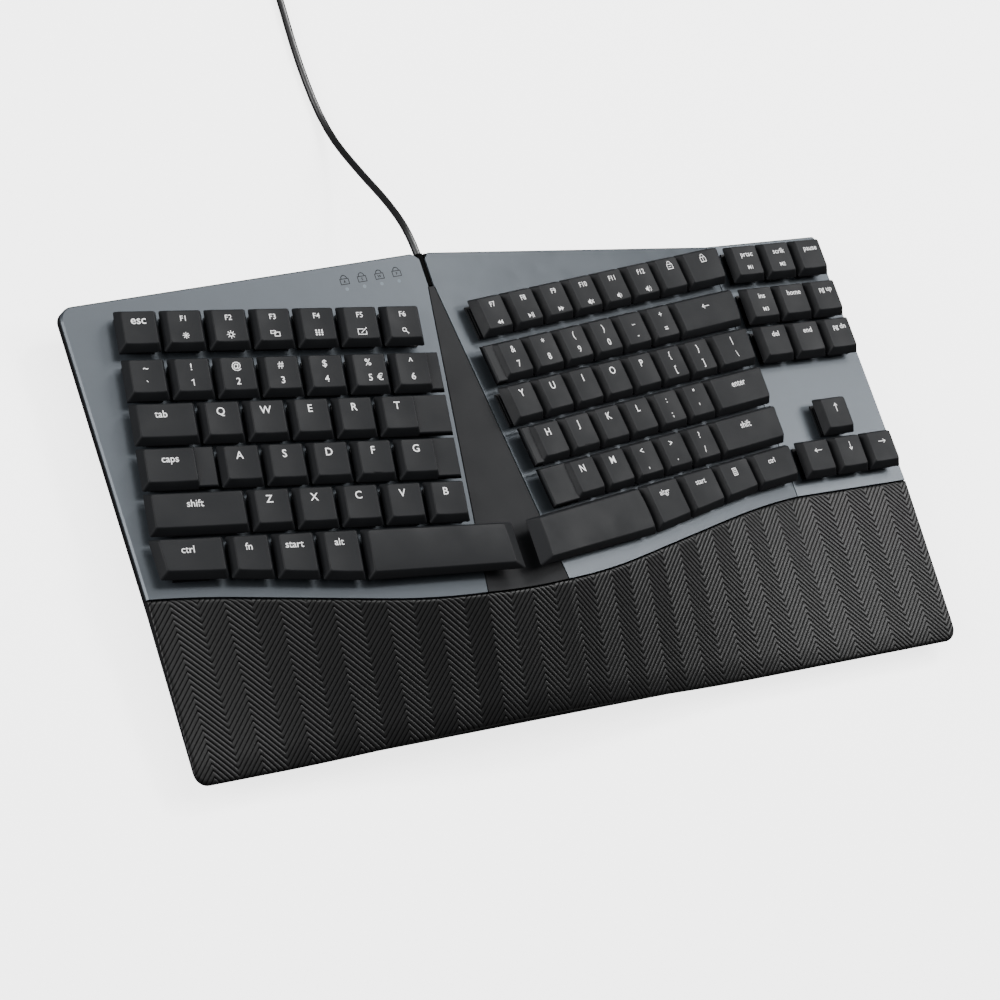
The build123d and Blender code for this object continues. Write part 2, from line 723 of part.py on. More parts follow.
with BuildPart() as strain_relief:
    with Locations((CREST_X, relief_back, RELIEF_BOTTOM)):
        Box(
            RELIEF_W,
            relief_back - WEDGE_BACK - 2 * SEAM,
            RELIEF_SHOULDER - RELIEF_BOTTOM,
            align=(Align.CENTER, Align.MAX, Align.MIN),
        )
        Box(
            SLOT - 0.2,
            relief_back - WEDGE_BACK - 2 * SEAM,
            CREST_Z - 0.9 - RELIEF_BOTTOM,
            align=(Align.CENTER, Align.MAX, Align.MIN),
        )
    with Locations((CREST_X, BACK - WALL, RELIEF_BOTTOM)):
        Box(
            RELIEF_W + 3,
            1.5,
            RELIEF_SHOULDER - RELIEF_BOTTOM - 0.6,
            align=(Align.CENTER, Align.MAX, Align.MIN),
        )
save(strain_relief.part, "strain_relief")

# Feet
feet_xy = [(x, y) for x in (LEFT + 32, CREST_X, RIGHT - 32) for y in (FRONT + 20, BACK - 48)]

with BuildPart() as rubber_feet:
    with Locations([(x, y, 0) for x, y in feet_xy]):
        Box(PAD_FOOT[0], PAD_FOOT[1], FOOT_T + FOOT_INSET, align=BOTTOM_ALIGNED)
save(rubber_feet.part, "rubber_feet")

FLIP_Z = FOOT_T + 0.4 + FLIP_T / 2
FLIP_CLEAR = 0.4


def flip_foot(x):
    """A foot folded flat in its pocket, with a pin stub at each side of its back end."""
    with BuildPart() as foot:
        with BuildSketch(Plane.YZ.offset(x)):
            with Locations((FLIP_Y, FLIP_Z)):
                Circle(FLIP_T / 2)
                Rectangle(FLIP_LENGTH, FLIP_T, align=(Align.MAX, Align.CENTER))
        extrude(amount=FLIP_WIDTH / 2, both=True)
        with Locations((x, FLIP_Y, FLIP_Z)):
            Cylinder(PIN_R, FLIP_WIDTH + 2 * PIN, rotation=(0, 90, 0))
    return foot.part


with BuildPart() as left_flip_foot:
    add(flip_foot(FLIP_X[0]))
save(left_flip_foot.part, "left_flip_foot")

with BuildPart() as right_flip_foot:
    add(flip_foot(FLIP_X[1]))
save(right_flip_foot.part, "right_flip_foot")

# Base shell
with BuildPart() as base_shell:
    add(hull.part)
    inner_inset = UNDERCUT - FLOOR + SLANT_WALL
    with BuildSketch(Plane.XY.offset(FLOOR_Z)):
        RectangleRounded(WIDTH - 2 * inner_inset, DEPTH - 2 * inner_inset, CORNER_R / 2)
    knee = FLOOR_Z + inner_inset - WALL
    with BuildSketch(Plane.XY.offset(knee)):
        RectangleRounded(WIDTH - 2 * WALL, DEPTH - 2 * WALL, CORNER_R - WALL)
    loft(mode=Mode.SUBTRACT)
    with BuildSketch(Plane.XY.offset(knee)):
        RectangleRounded(WIDTH - 2 * WALL, DEPTH - 2 * WALL, CORNER_R - WALL)
    extrude(amount=2 * CREST_Z, mode=Mode.SUBTRACT)
    with Locations([spot * Location((0, 0, -PLATE - STUB)) for spot in boss_places]):
        Cylinder(BOSS_R, 2 * CREST_Z, align=TOP_ALIGNED)
    with Locations([spot * Location((0, 0, -BODY_DEPTH - BOARD_T - 0.6)) for spot in boss_places]):
        Cylinder(BOSS_FOOT_R, 2 * CREST_Z, align=TOP_ALIGNED)
    with Locations([(x, y, z) for x, y, z in standoffs]):
        Cylinder(2, STANDOFF + FLOOR / 2, align=BOTTOM_ALIGNED)
    roof = FLIP_Z + FLIP_T / 2 + FLIP_CLEAR + FLIP_ROOF
    pocket_back = FLIP_Y + FLIP_T / 2 + FLIP_CLEAR
    pocket_length = FLIP_LENGTH + FLIP_T / 2 + 2 * FLIP_CLEAR
    with Locations([(x, pocket_back + FLIP_ROOF, FOOT_T) for x in FLIP_X]):
        Box(
            FLIP_WIDTH + 2 * (FLIP_CLEAR + PIN + FLIP_ROOF),
            pocket_length + 2 * FLIP_ROOF,
            roof - FOOT_T,
            align=(Align.CENTER, Align.MAX, Align.MIN),
        )
    add(hull.part, mode=Mode.INTERSECT)
    add(under_decks.part, mode=Mode.INTERSECT)
    add(ABOVE_FRAME_BOTTOM, mode=Mode.SUBTRACT)
    seat = PLATE + SCREW_LENGTH
    with Locations([spot * Location((0, 0, -PLATE)) for spot in boss_places]):
        Cylinder(SCREW_R + 0.2, SCREW_LENGTH, align=TOP_ALIGNED, mode=Mode.SUBTRACT)
    with Locations([spot * Location((0, 0, -seat)) for spot in boss_places]):
        Cylinder(HEAD_R + 0.3, 2 * CREST_Z, align=TOP_ALIGNED, mode=Mode.SUBTRACT)
    with Locations([(x, y, 0) for x, y in feet_xy]):
        Box(
            PAD_FOOT[0],
            PAD_FOOT[1],
            FOOT_T + FOOT_INSET,
            align=BOTTOM_ALIGNED,
            mode=Mode.SUBTRACT,
        )
    with Locations([(x, pocket_back, 0) for x in FLIP_X]):
        Box(
            FLIP_WIDTH + 2 * FLIP_CLEAR,
            pocket_length,
            roof - FLIP_ROOF,
            align=(Align.CENTER, Align.MAX, Align.MIN),
            mode=Mode.SUBTRACT,
        )
    with Locations([(x, FLIP_Y, FLIP_Z) for x in FLIP_X]):
        Cylinder(
            PIN_R + SLIDE_GAP,
            FLIP_WIDTH + 2 * (PIN + FLIP_CLEAR),
            rotation=(0, 90, 0),
            mode=Mode.SUBTRACT,
        )
    with Locations((CREST_X, BACK + 1, RELIEF_BOTTOM)):
        Box(RELIEF_W, WALL + 2, CREST_Z, align=(Align.CENTER, Align.MAX, Align.MIN), mode=Mode.SUBTRACT)
save(base_shell.part, "base_shell")

with BuildPart() as case_screws:
    with Locations([spot * Location((0, 0, -seat)) for spot in boss_places]):
        Cylinder(SCREW_R, SCREW_LENGTH - 0.2, align=BOTTOM_ALIGNED)
        Cylinder(HEAD_R, HEAD_T, align=TOP_ALIGNED)
        with Locations((0, 0, -HEAD_T)):
            Cylinder(1.2, 1.0, align=BOTTOM_ALIGNED, mode=Mode.SUBTRACT)
save(case_screws.part, "case_screws")

# Cable, coil and plug
CABLE_R = 1.6
COIL_MEAN_R = 19.2
COIL_PITCH = 4.4
COIL_LAYER = 3.9
COIL_HALF_TURNS = 6
COIL_LAYERS = 4
COIL_Y = BACK + 186.0
GRIP = (26.0, 15.5, 8.0)
SHELL = (14.0, 12.0, 4.5)
SHELL_WALL = 0.4
TONGUE_T = 1.8

coil_outer = COIL_MEAN_R + COIL_HALF_TURNS * COIL_PITCH / 4
coil_x = CREST_X + coil_outer


def bend_radii(points):
    """Radius at each bend of a run of points."""
    radii = []
    for before, here, after in zip(points, points[1:], points[2:]):
        first = Vector(here) - Vector(before)
        second = Vector(after) - Vector(here)
        half_turn = radians(first.get_angle(second)) / 2
        radii.append(0.45 * min(first.length, second.length) / tan(half_turn))
    return radii


def tube(points):
    """A cable along straight runs joined by arcs."""
    radii = bend_radii(points)
    print("bends", [round(radius, 1) for radius in radii])
    start = Vector(points[0])
    with BuildPart() as cable:
        with BuildLine() as route:
            FilletPolyline(*points, radius=radii)
        with BuildSketch(Plane(origin=start, z_dir=Vector(points[1]) - start)):
            Circle(CABLE_R)
        sweep()
    length = sum(edge.length for edge in route.edges())
    share = cable.part.volume / (pi * CABLE_R**2 * length)
    print("cable", round(length, 1), "volume share", round(share, 4))
    return cable.part


# Ends of the coil's half turns: distance from its middle, and height
turn_ends = [(coil_outer, CABLE_R)]
for layer in range(COIL_LAYERS):
    change = COIL_PITCH / 2 * (-1 if layer % 2 == 0 else 1)
    for _ in range(COIL_HALF_TURNS):
        turn_ends.append((turn_ends[-1][0] + change, turn_ends[-1][1]))
    if layer < COIL_LAYERS - 1:
        turn_ends.append((turn_ends[-1][0], turn_ends[-1][1] + COIL_LAYER))


def turn_point(k):
    """Where half turn k starts: left of the middle for an even k, right for an odd one."""
    side = -1 if k % 2 == 0 else 1
    return Vector(coil_x + side * turn_ends[k][0], COIL_Y, turn_ends[k][1])


last_turn = len(turn_ends) - 2
with BuildPart() as cable_coil:
    with BuildLine() as winding:
        coil_start = turn_point(0) - Vector(0, 2 * CABLE_R, 0)
        Line(coil_start, turn_point(0))
        for k in range(last_turn):
            heading = Vector(0, 1 if k % 2 == 0 else -1, 0)
            first, second = turn_point(k), turn_point(k + 1)
            middle = (first + second) / 2 + heading * ((second - first).length / 2)
            if abs(second.Z - first.Z) > CABLE_R:
                TangentArc(first, middle, tangent=heading)
                TangentArc(middle, second, tangent=second - first)
            else:
                ThreePointArc(first, middle, second)
        first = turn_point(last_turn)
        final_r = (turn_ends[last_turn][0] + turn_ends[last_turn + 1][0]) / 2
        arc_middle = first + Vector(final_r * (1 - cos(pi / 4)), final_r * sin(pi / 4), 0)
        arc_end = first + Vector(final_r, final_r, 0)
        ThreePointArc(first, arc_middle, arc_end)
        coil_end = arc_end + Vector(2 * CABLE_R, 0, 0)
        Line(arc_end, coil_end)
    with BuildSketch(Plane(origin=coil_start, z_dir=(0, 1, 0))):
        Circle(CABLE_R)
    sweep()
save(cable_coil.part, "cable_coil")

coil_length = sum(edge.length for edge in winding.edges())
coil_share = cable_coil.part.volume / (pi * CABLE_R**2 * coil_length)
print("coil", round(coil_length, 1), "volume share", round(coil_share, 4))

# Least gap of the coil to itself, on points along it
coil_points = []
walked = 0.0
for edge in winding.edges():
    count = max(2, int(edge.length / 1.5))
    for i in range(count):
        coil_points.append((walked + edge.length * i / count, edge @ (i / count)))
    walked += edge.length
least = min(
    (one - other).length
    for i, (at_one, one) in enumerate(coil_points)
    for at_other, other in coil_points[i + 1 :]
    if at_other - at_one > COIL_MEAN_R
)
print("least coil gap", round(least - 2 * CABLE_R, 2))

lead_points = [
    (CREST_X, relief_back, EXIT_Z),
    (CREST_X, BACK + 9.0, EXIT_Z),
    (CREST_X - 0.5, BACK + 28.0, EXIT_Z - 11.1),
    (CREST_X + 1.5, BACK + 50.0, EXIT_Z - 22.1),
    (CREST_X + 0.5, BACK + 77.0, CABLE_R),
    (CREST_X - 2.0, BACK + 110.0, CABLE_R),
    (CREST_X, BACK + 148.0, CABLE_R),
    tuple(coil_start),
]
plug_z = GRIP[2] / 2
tail_points = [
    tuple(coil_end),
    (coil_end.X + 9.0, coil_end.Y, coil_end.Z),
    (coil_end.X + 23.0, coil_end.Y - 2.0, plug_z + 1.2),
    (coil_end.X + 38.0, coil_end.Y - 4.0, plug_z),
    (coil_end.X + 52.0, coil_end.Y - 4.0, plug_z),
]
with BuildPart() as cable_lead:
    add([tube(lead_points), tube(tail_points)])
save(cable_lead.part, "cable_lead")

with BuildPart() as usb_plug_housing:
    with Locations(tail_points[-1]):
        Box(*GRIP, align=(Align.MIN, Align.CENTER, Align.CENTER))
    fillet(usb_plug_housing.edges().filter_by(Axis.X), 1.5)
save(usb_plug_housing.part, "usb_plug_housing")

grip_end = (tail_points[-1][0] + GRIP[0], tail_points[-1][1], plug_z)
with BuildPart() as usb_plug_shell:
    with Locations(grip_end):
        Box(*SHELL, align=(Align.MIN, Align.CENTER, Align.CENTER))
        with Locations((SHELL_WALL, 0, 0)):
            Box(
                SHELL[0],
                SHELL[1] - 2 * SHELL_WALL,
                SHELL[2] - 2 * SHELL_WALL,
                align=(Align.MIN, Align.CENTER, Align.CENTER),
                mode=Mode.SUBTRACT,
            )
        with Locations((SHELL_WALL, 0, SHELL[2] / 2 - SHELL_WALL)):
            Box(
                SHELL[0] - 2 * SHELL_WALL,
                SHELL[1] - 2 * SHELL_WALL,
                TONGUE_T,
                align=(Align.MIN, Align.CENTER, Align.MAX),
            )
save(usb_plug_shell.part, "usb_plug_shell")
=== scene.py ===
import bpy
from collections import namedtuple
from math import ceil, cos, floor, hypot, pi, radians, sin, sqrt, tan
from mathutils import Matrix, Vector


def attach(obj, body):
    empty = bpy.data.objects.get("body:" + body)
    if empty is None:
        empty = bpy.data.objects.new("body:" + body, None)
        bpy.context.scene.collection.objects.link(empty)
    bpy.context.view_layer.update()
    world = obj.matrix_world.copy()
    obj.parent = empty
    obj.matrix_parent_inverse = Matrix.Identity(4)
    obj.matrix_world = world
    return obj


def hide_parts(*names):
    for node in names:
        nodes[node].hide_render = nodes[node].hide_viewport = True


# Looks of the two-halved keyboard. Sizes are in millimetres until a mesh is made.

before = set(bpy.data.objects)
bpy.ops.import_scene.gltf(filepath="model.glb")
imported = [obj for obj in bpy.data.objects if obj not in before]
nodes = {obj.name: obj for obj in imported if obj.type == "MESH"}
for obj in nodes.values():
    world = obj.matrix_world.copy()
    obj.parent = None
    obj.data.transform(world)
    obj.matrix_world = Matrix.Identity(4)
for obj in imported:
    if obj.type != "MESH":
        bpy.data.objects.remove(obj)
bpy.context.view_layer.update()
MM = 0.001
scene = bpy.context.scene

# Camera, where the photograph's was
CAMERA_AT = (-809.3, -351.6, 1090.8)
CAMERA_RIGHT = Vector((0.8119, -0.3121, 0.4934))
CAMERA_UP = Vector((0.1197, 0.9161, 0.3826))
FOCAL_PX = 3276.3
FRAME_PX = 1000
SENSOR = 36.0

lens = bpy.data.cameras.new("camera")
lens.sensor_width = SENSOR
lens.lens = SENSOR * FOCAL_PX / FRAME_PX
camera = bpy.data.objects.new("camera", lens)
back = CAMERA_RIGHT.cross(CAMERA_UP).normalized()
up = back.cross(CAMERA_RIGHT).normalized()
turned = Matrix((CAMERA_RIGHT.normalized(), up, back)).transposed().to_4x4()
camera.matrix_world = Matrix.Translation(Vector(CAMERA_AT) * MM) @ turned
scene.collection.objects.link(camera)
scene.camera = camera

# Sizes shared with the solids
WIDTH = 398.4
DEPTH = 201.0
LEFT = -WIDTH / 2
RIGHT = WIDTH / 2
FRONT = -DEPTH / 2
BACK = DEPTH / 2
CORNER_R = 6.0
CREST_X = -37.8
TENT = 8.0
TURN = 8.0
NAV_Z = 15.0
CREASE_X = CREST_X + 171.7
CREST_Z = NAV_Z + (CREASE_X - CREST_X) * tan(radians(TENT))
SEAM = 0.5
SEAM_Y = BACK - 151.3
MID_R = 313.0
SEAM_RISE = 12.0
SEAM_LINE = 61.2
OUTER_R = 430.0
WEDGE_BACK = BACK - 16.0
WEDGE_TIP = 1.6
FRONT_LEFT_Z = NAV_Z - 4.4
FRONT_RIGHT_Z = NAV_Z - 5.2
WAVE = 9.4
WAVE_X = CREST_X - 4.0
WAVE_HALF = 122.0
ROLL = 10.0
ROLL_BEND = 0.07
PAD_LIP = 1.2
PAD_T = 4.0
PITCH = 19.05
ROW_GAP = 2.0
CAP_GAP = 1.0
SKIRT_Z = 4.5
CAP_H = 4.0
TOP_Z = SKIRT_Z + CAP_H
SIDE_DRAFT = 2.1
FRONT_DRAFT = 2.5
BACK_DRAFT = 1.6
CAP_WALL = 1.2
CAP_TOP = 1.3
CAP_R = 1.0
DISH = 0.4
SPACE_CROWN = 0.5
LIP_R = 0.15
LIP_LEVEL = 0.04
LIP_Z = 0.16
STEP_PART = 0.45
STEP_R = 0.3
STEP_FLARE = 0.12
STEP_OVERLAP = 1.5 * CAP_WALL
FRONT_STRIP = 6.0
FRONT_ROW = 5
SLIDER = 6.0
SLIDER_LOW = -0.7
SLIDER_HIGH = SKIRT_Z - 0.4
POST_R = 2.8
POST_LOW = SKIRT_Z - 0.3
POST_SIDES = 16

# Cable: one smooth line through its route and the turns of its coil
CABLE_R = 1.6
EXIT_Z = CREST_Z - 2.5
COIL_MEAN_R = 19.2
COIL_PITCH = 4.4
COIL_LAYER = 3.9
COIL_HALF_TURNS = 6
COIL_LAYERS = 4
COIL_Y = BACK + 186.0
POINTS_PER_TURN = 16

coil_outer = COIL_MEAN_R + COIL_HALF_TURNS * COIL_PITCH / 4
coil_x = CREST_X + coil_outer
turn_ends = [(coil_outer, CABLE_R)]
for layer in range(COIL_LAYERS):
    change = COIL_PITCH / 2 * (-1 if layer % 2 == 0 else 1)
    for _ in range(COIL_HALF_TURNS):
        turn_ends.append((turn_ends[-1][0] + change, turn_ends[-1][1]))
    if layer < COIL_LAYERS - 1:
        turn_ends.append((turn_ends[-1][0], turn_ends[-1][1] + COIL_LAYER))
last_turn = len(turn_ends) - 2


def coil_point(half_turns):
    """Control point beside the coil, that many half turns from its start."""
    k = min(int(half_turns), last_turn)
    eased = (1 - cos(pi * (half_turns - k))) / 2
    r = turn_ends[k][0] + (turn_ends[k + 1][0] - turn_ends[k][0]) * eased
    z = turn_ends[k][1] + (turn_ends[k + 1][1] - turn_ends[k][1]) * eased
    r /= cos(pi / POINTS_PER_TURN)
    angle = pi * half_turns
    return (coil_x - r * cos(angle), COIL_Y + r * sin(angle), z)


coil_points = []
step = 2 / POINTS_PER_TURN
while (len(coil_points) + 0.5) * step < last_turn + 0.5:
    coil_points.append(coil_point((len(coil_points) + 0.5) * step))

final_r = (turn_ends[last_turn][0] + turn_ends[last_turn + 1][0]) / 2
coil_end_x = coil_x - turn_ends[last_turn][0] + final_r + 2 * CABLE_R
coil_end_y = COIL_Y + final_r
coil_end_z = turn_ends[last_turn][1]
plug_z = 4.0
route = [
    (CREST_X, BACK - 0.2, EXIT_Z),
    (CREST_X, BACK + 11.0, EXIT_Z - 0.5),
    (CREST_X - 0.5, BACK + 29.0, EXIT_Z - 7.5),
    (CREST_X + 1.5, BACK + 50.0, EXIT_Z - 22.1),
    (CREST_X + 0.5, BACK + 77.0, CABLE_R),
    (CREST_X - 2.0, BACK + 110.0, CABLE_R),
    (CREST_X, BACK + 148.0, CABLE_R),
    (CREST_X, COIL_Y - 2 * CABLE_R, CABLE_R),
    *coil_points,
    (coil_end_x, coil_end_y, coil_end_z),
    (coil_end_x + 9.0, coil_end_y, coil_end_z),
    (coil_end_x + 23.0, coil_end_y - 2.0, plug_z + 1.2),
    (coil_end_x + 38.0, coil_end_y - 4.0, plug_z),
    (coil_end_x + 52.0, coil_end_y - 4.0, plug_z),
]

line = bpy.data.curves.new("cable", "CURVE")
line.dimensions = "3D"
spline = line.splines.new("NURBS")
spline.points.add(len(route) - 1)
for point, (x, y, z) in zip(spline.points, route):
    point.co = (x * MM, y * MM, z * MM, 1)
    point.radius = MM
spline.order_u = 3
spline.use_endpoint_u = True
spline.resolution_u = 4
line.bevel_depth = CABLE_R
line.bevel_resolution = 4
cable = bpy.data.objects.new("cable", line)
scene.collection.objects.link(cable)
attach(cable, "case")
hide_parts("cable_lead", "cable_coil")


# Materials
def surface(name, color, rough, metal, shine):
    """A material with its shader and object coordinates."""
    material = bpy.data.materials.new(name)
    material.use_nodes = True
    tree = material.node_tree
    shader = tree.nodes["Principled BSDF"]
    shader.inputs["Base Color"].default_value = (*color, 1)
    shader.inputs["Roughness"].default_value = rough
    shader.inputs["Metallic"].default_value = metal
    shader.inputs["Specular IOR Level"].default_value = shine
    place_node = tree.nodes.new("ShaderNodeTexCoord")
    return material, tree, shader, place_node.outputs["Object"]


def noise(tree, where, size, detail):
    """Noise with a grain of that size in millimetres."""
    made = tree.nodes.new("ShaderNodeTexNoise")
    made.inputs["Scale"].default_value = 1 / (size * MM)
    made.inputs["Detail"].default_value = detail
    tree.links.new(where, made.inputs["Vector"])
    return made.outputs["Fac"]


def node_math(tree, kind, first, second):
    """One arithmetic node, on sockets or numbers."""
    made = tree.nodes.new("ShaderNodeMath")
    made.operation = kind
    for i, value in enumerate((first, second)):
        if isinstance(value, (int, float)):
            made.inputs[i].default_value = value
        else:
            tree.links.new(value, made.inputs[i])
    return made.outputs[0]


def mapped(tree, value, low, high, to_low=0.0, to_high=1.0, kind="LINEAR"):
    """A value carried from one range to another."""
    made = tree.nodes.new("ShaderNodeMapRange")
    made.interpolation_type = kind
    made.inputs["From Min"].default_value = low
    made.inputs["From Max"].default_value = high
    made.inputs["To Min"].default_value = to_low
    made.inputs["To Max"].default_value = to_high
    tree.links.new(value, made.inputs["Value"])
    return made.outputs[0]


def tinted(tree, shader, factor, first, second):
    """Colour the surface from the first colour to the second by a factor."""
    mix = tree.nodes.new("ShaderNodeMix")
    mix.data_type = "RGBA"
    mix.inputs["A"].default_value = (*first, 1)
    mix.inputs["B"].default_value = (*second, 1)
    tree.links.new(factor, mix.inputs["Factor"])
    tree.links.new(mix.outputs["Result"], shader.inputs["Base Color"])


def bumped(tree, shader, height, strength, depth):
    """Give the surface fine relief, that many millimetres deep."""
    bump = tree.nodes.new("ShaderNodeBump")
    bump.inputs["Strength"].default_value = strength
    bump.inputs["Distance"].default_value = depth * MM
    tree.links.new(height, bump.inputs["Height"])
    tree.links.new(bump.outputs[0], shader.inputs["Normal"])


# How many times coarser the broad variation is than the fine grain
BROAD = 60
FINE_DETAIL = 3
BROAD_DETAIL = 4

# Where the values of one noise, and of two added, mostly lie
ONE_NOISE = (0.3, 0.7)
TWO_NOISES = (0.6, 1.4)
GRAIN_STRENGTH = 0.6


def grained(name, color, rough, metal=0.0, shine=0.5, grain=0.3, depth=0.02, vary=0.15, rough_vary=0.08):
    """A surface whose colour, gloss and height vary finely. Grain and depth are in millimetres."""
    material, tree, shader, where = surface(name, color, rough, metal, shine)
    fine = noise(tree, where, grain, FINE_DETAIL)
    broad = noise(tree, where, BROAD * grain, BROAD_DETAIL)
    tint = mapped(tree, node_math(tree, "ADD", fine, broad), *TWO_NOISES)
    tinted(tree, shader, tint, [c * (1 - vary) for c in color], [c * (1 + vary) for c in color])
    gloss = mapped(tree, broad, *ONE_NOISE, rough - rough_vary, rough + rough_vary)
    tree.links.new(gloss, shader.inputs["Roughness"])
    bumped(tree, shader, fine, GRAIN_STRENGTH, depth)
    return material


# Herringbone: slanting ribs that turn back at each column's edge
COLUMN = 11.03
COLUMN_STEPS = 18
RIB_STEPS = 4
RIB_SLOPE = 1.08
RIB_TURN_X = -36.5
RIB_Y = COLUMN / COLUMN_STEPS * RIB_SLOPE * RIB_STEPS
RIB_DEPTH = 0.2

# Where a groove's side starts and ends, in parts of the way from one rib to the next
GROOVE_SIDE = (0.04, 0.24)
LEATHER_GRAIN = 0.35
LEATHER_GRAIN_PART = 0.18
LEATHER_RELIEF = 0.12
LEATHER_STRENGTH = 0.7
# How dark the painted shade in the grooves makes their colour
GROOVE_PAINTED_SHADE = 0.3
GROOVE_SHINE = 0.2
RIB_SHINE = 1.2


def herringbone(name, color, rough, shine):
    """Leather whose grooves, which the mesh has too, are finely creased, with painted shade darkening their
    colour.
    """
    material, tree, shader, where = surface(name, color, rough, 0.0, shine)
    split = tree.nodes.new("ShaderNodeSeparateXYZ")
    tree.links.new(where, split.inputs[0])
    from_turn = node_math(tree, "SUBTRACT", split.outputs["X"], RIB_TURN_X * MM)
    zigzag = node_math(tree, "PINGPONG", from_turn, COLUMN * MM)
    fallen = node_math(tree, "MULTIPLY", zigzag, RIB_SLOPE)
    along = node_math(tree, "ADD", split.outputs["Y"], fallen)
    from_groove = node_math(tree, "PINGPONG", along, RIB_Y * MM / 2)
    rib_from, rib_to = [part * RIB_Y * MM for part in GROOVE_SIDE]
    rib = mapped(tree, from_groove, rib_from, rib_to, kind="SMOOTHSTEP")
    grain = tree.nodes.new("ShaderNodeTexVoronoi")
    grain.inputs["Scale"].default_value = 1 / (LEATHER_GRAIN * MM)
    tree.links.new(where, grain.inputs["Vector"])
    fine = node_math(tree, "MULTIPLY", grain.outputs["Distance"], LEATHER_GRAIN_PART)
    height = node_math(tree, "ADD", rib, fine)
    bumped(tree, shader, height, LEATHER_STRENGTH, LEATHER_RELIEF)
    # Painted shade: the colour in the grooves is darkened to stand in for their shadow
    tinted(tree, shader, rib, [c * GROOVE_PAINTED_SHADE for c in color], color)
    sheen = mapped(tree, rib, 0.0, 1.0, GROOVE_SHINE * shine, RIB_SHINE * shine)
    tree.links.new(sheen, shader.inputs["Specular IOR Level"])
    return material


key_plastic = grained(
    "key_plastic", (0.0106, 0.0113, 0.0127), 0.55, shine=0.17, grain=0.25, depth=0.012, vary=0.08
)
legend_paint = grained("legend_paint", (0.9, 0.9, 0.9), 0.5, grain=0.25, depth=0.004, vary=0.03)
deck_paint = grained(
    "deck_paint", (0.060, 0.070, 0.081), 0.36, metal=0.5, grain=0.16, depth=0.008, vary=0.08, rough_vary=0.03
)
wedge_paint = grained(
    "wedge_paint", (0.013, 0.0135, 0.0148), 0.6, shine=0.14, grain=0.2, depth=0.01, vary=0.08, rough_vary=0.03
)
shell_plastic = grained("shell_plastic", (0.007, 0.007, 0.008), 0.8, shine=0.1, grain=0.4, depth=0.03)
switch_plastic = grained("switch_plastic", (0.008, 0.008, 0.009), 0.4, shine=0.3, grain=0.5, depth=0.01)
board_green = grained("board_green", (0.02, 0.09, 0.04), 0.4, grain=1.5, depth=0.02)
lens_clear = grained("lens_clear", (0.10, 0.13, 0.155), 0.25, grain=0.4, depth=0.004, vary=0.05)
screw_steel = grained("screw_steel", (0.45, 0.45, 0.46), 0.35, metal=1.0, grain=0.3, depth=0.01)
foot_rubber = grained("foot_rubber", (0.008, 0.008, 0.008), 0.8, shine=0.2, grain=0.5, depth=0.04)
relief_rubber = grained("relief_rubber", (0.003, 0.003, 0.003), 0.9, shine=0.03, grain=0.5, depth=0.03)
cable_jacket = grained("cable_jacket", (0.007, 0.007, 0.0075), 0.28, shine=0.6, grain=0.6, depth=0.015)
plug_steel = grained("plug_steel", (0.6, 0.6, 0.62), 0.3, metal=1.0, grain=0.4, depth=0.01)
icon_paint = grained("icon_paint", (0.006, 0.006, 0.007), 0.5, shine=0.2, grain=0.3, depth=0.004, vary=0.05)
pad_leather = herringbone("pad_leather", (0.0028, 0.0029, 0.0031), 0.42, 0.26)
pad_edge = grained("pad_edge", (0.005, 0.005, 0.0053), 0.45, shine=0.25, grain=0.5, depth=0.03)

NODE_MATERIALS = {
    "base_shell": shell_plastic,
    "palm_rest_frame": shell_plastic,
    "left_deck_plate": deck_paint,
    "right_deck_plate": deck_paint,
    "nav_deck_plate": deck_paint,
    "centre_wedge": wedge_paint,
    "left_switch_housings": switch_plastic,
    "right_switch_housings": switch_plastic,
    "nav_switch_housings": switch_plastic,
    "left_circuit_board": board_green,
    "right_circuit_board": board_green,
    "nav_circuit_board": board_green,
    "controller_board": board_green,
    "status_lenses": lens_clear,
    "case_screws": screw_steel,
    "rubber_feet": foot_rubber,
    "strain_relief": relief_rubber,
    "left_flip_foot": shell_plastic,
    "right_flip_foot": shell_plastic,
    "usb_plug_housing": shell_plastic,
    "usb_plug_shell": plug_steel,
}
for name, material in NODE_MATERIALS.items():
    nodes[name].data.materials.clear()
    nodes[name].data.materials.append(material)
line.materials.append(cable_jacket)


def piece(name, verts, faces, materials, body, indices=None, smooth=True):
    """A mesh object from points in millimetres, riding on a body."""
    mesh = bpy.data.meshes.new(name)
    mesh.from_pydata([Vector(v) * MM for v in verts], [], faces)
    for material in materials:
        mesh.materials.append(material)
    if indices:
        mesh.polygons.foreach_set("material_index", indices)
    mesh.polygons.foreach_set("use_smooth", [smooth] * len(mesh.polygons))
    mesh.validate()
    mesh.update()
    made = bpy.data.objects.new(name, mesh)
    scene.collection.objects.link(made)
    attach(made, body)
    return made


def deck_z(x):
    """Height of the deck plates' tops at a place across the keyboard."""
    return max(NAV_Z, CREST_Z - abs(x - CREST_X) * tan(radians(TENT)))


def seam_y(x):
    """Where the palm rest meets the decks: an arc, a straight run and an arc the other way."""
    away = min(abs(x - CREST_X), CREASE_X - CREST_X)
    rise = radians(SEAM_RISE)
    arc_end = MID_R * sin(rise)
    line_end = arc_end + SEAM_LINE * cos(rise)
    if away <= arc_end:
        return SEAM_Y + MID_R - sqrt(MID_R**2 - away**2)
    flank = SEAM_Y + MID_R * (1 - cos(rise)) + (min(away, line_end) - arc_end) * tan(rise)
    if away <= line_end:
        return flank
    lean = sin(rise) - (away - line_end) / OUTER_R
    return flank + OUTER_R * (sqrt(1 - lean**2) - cos(rise))


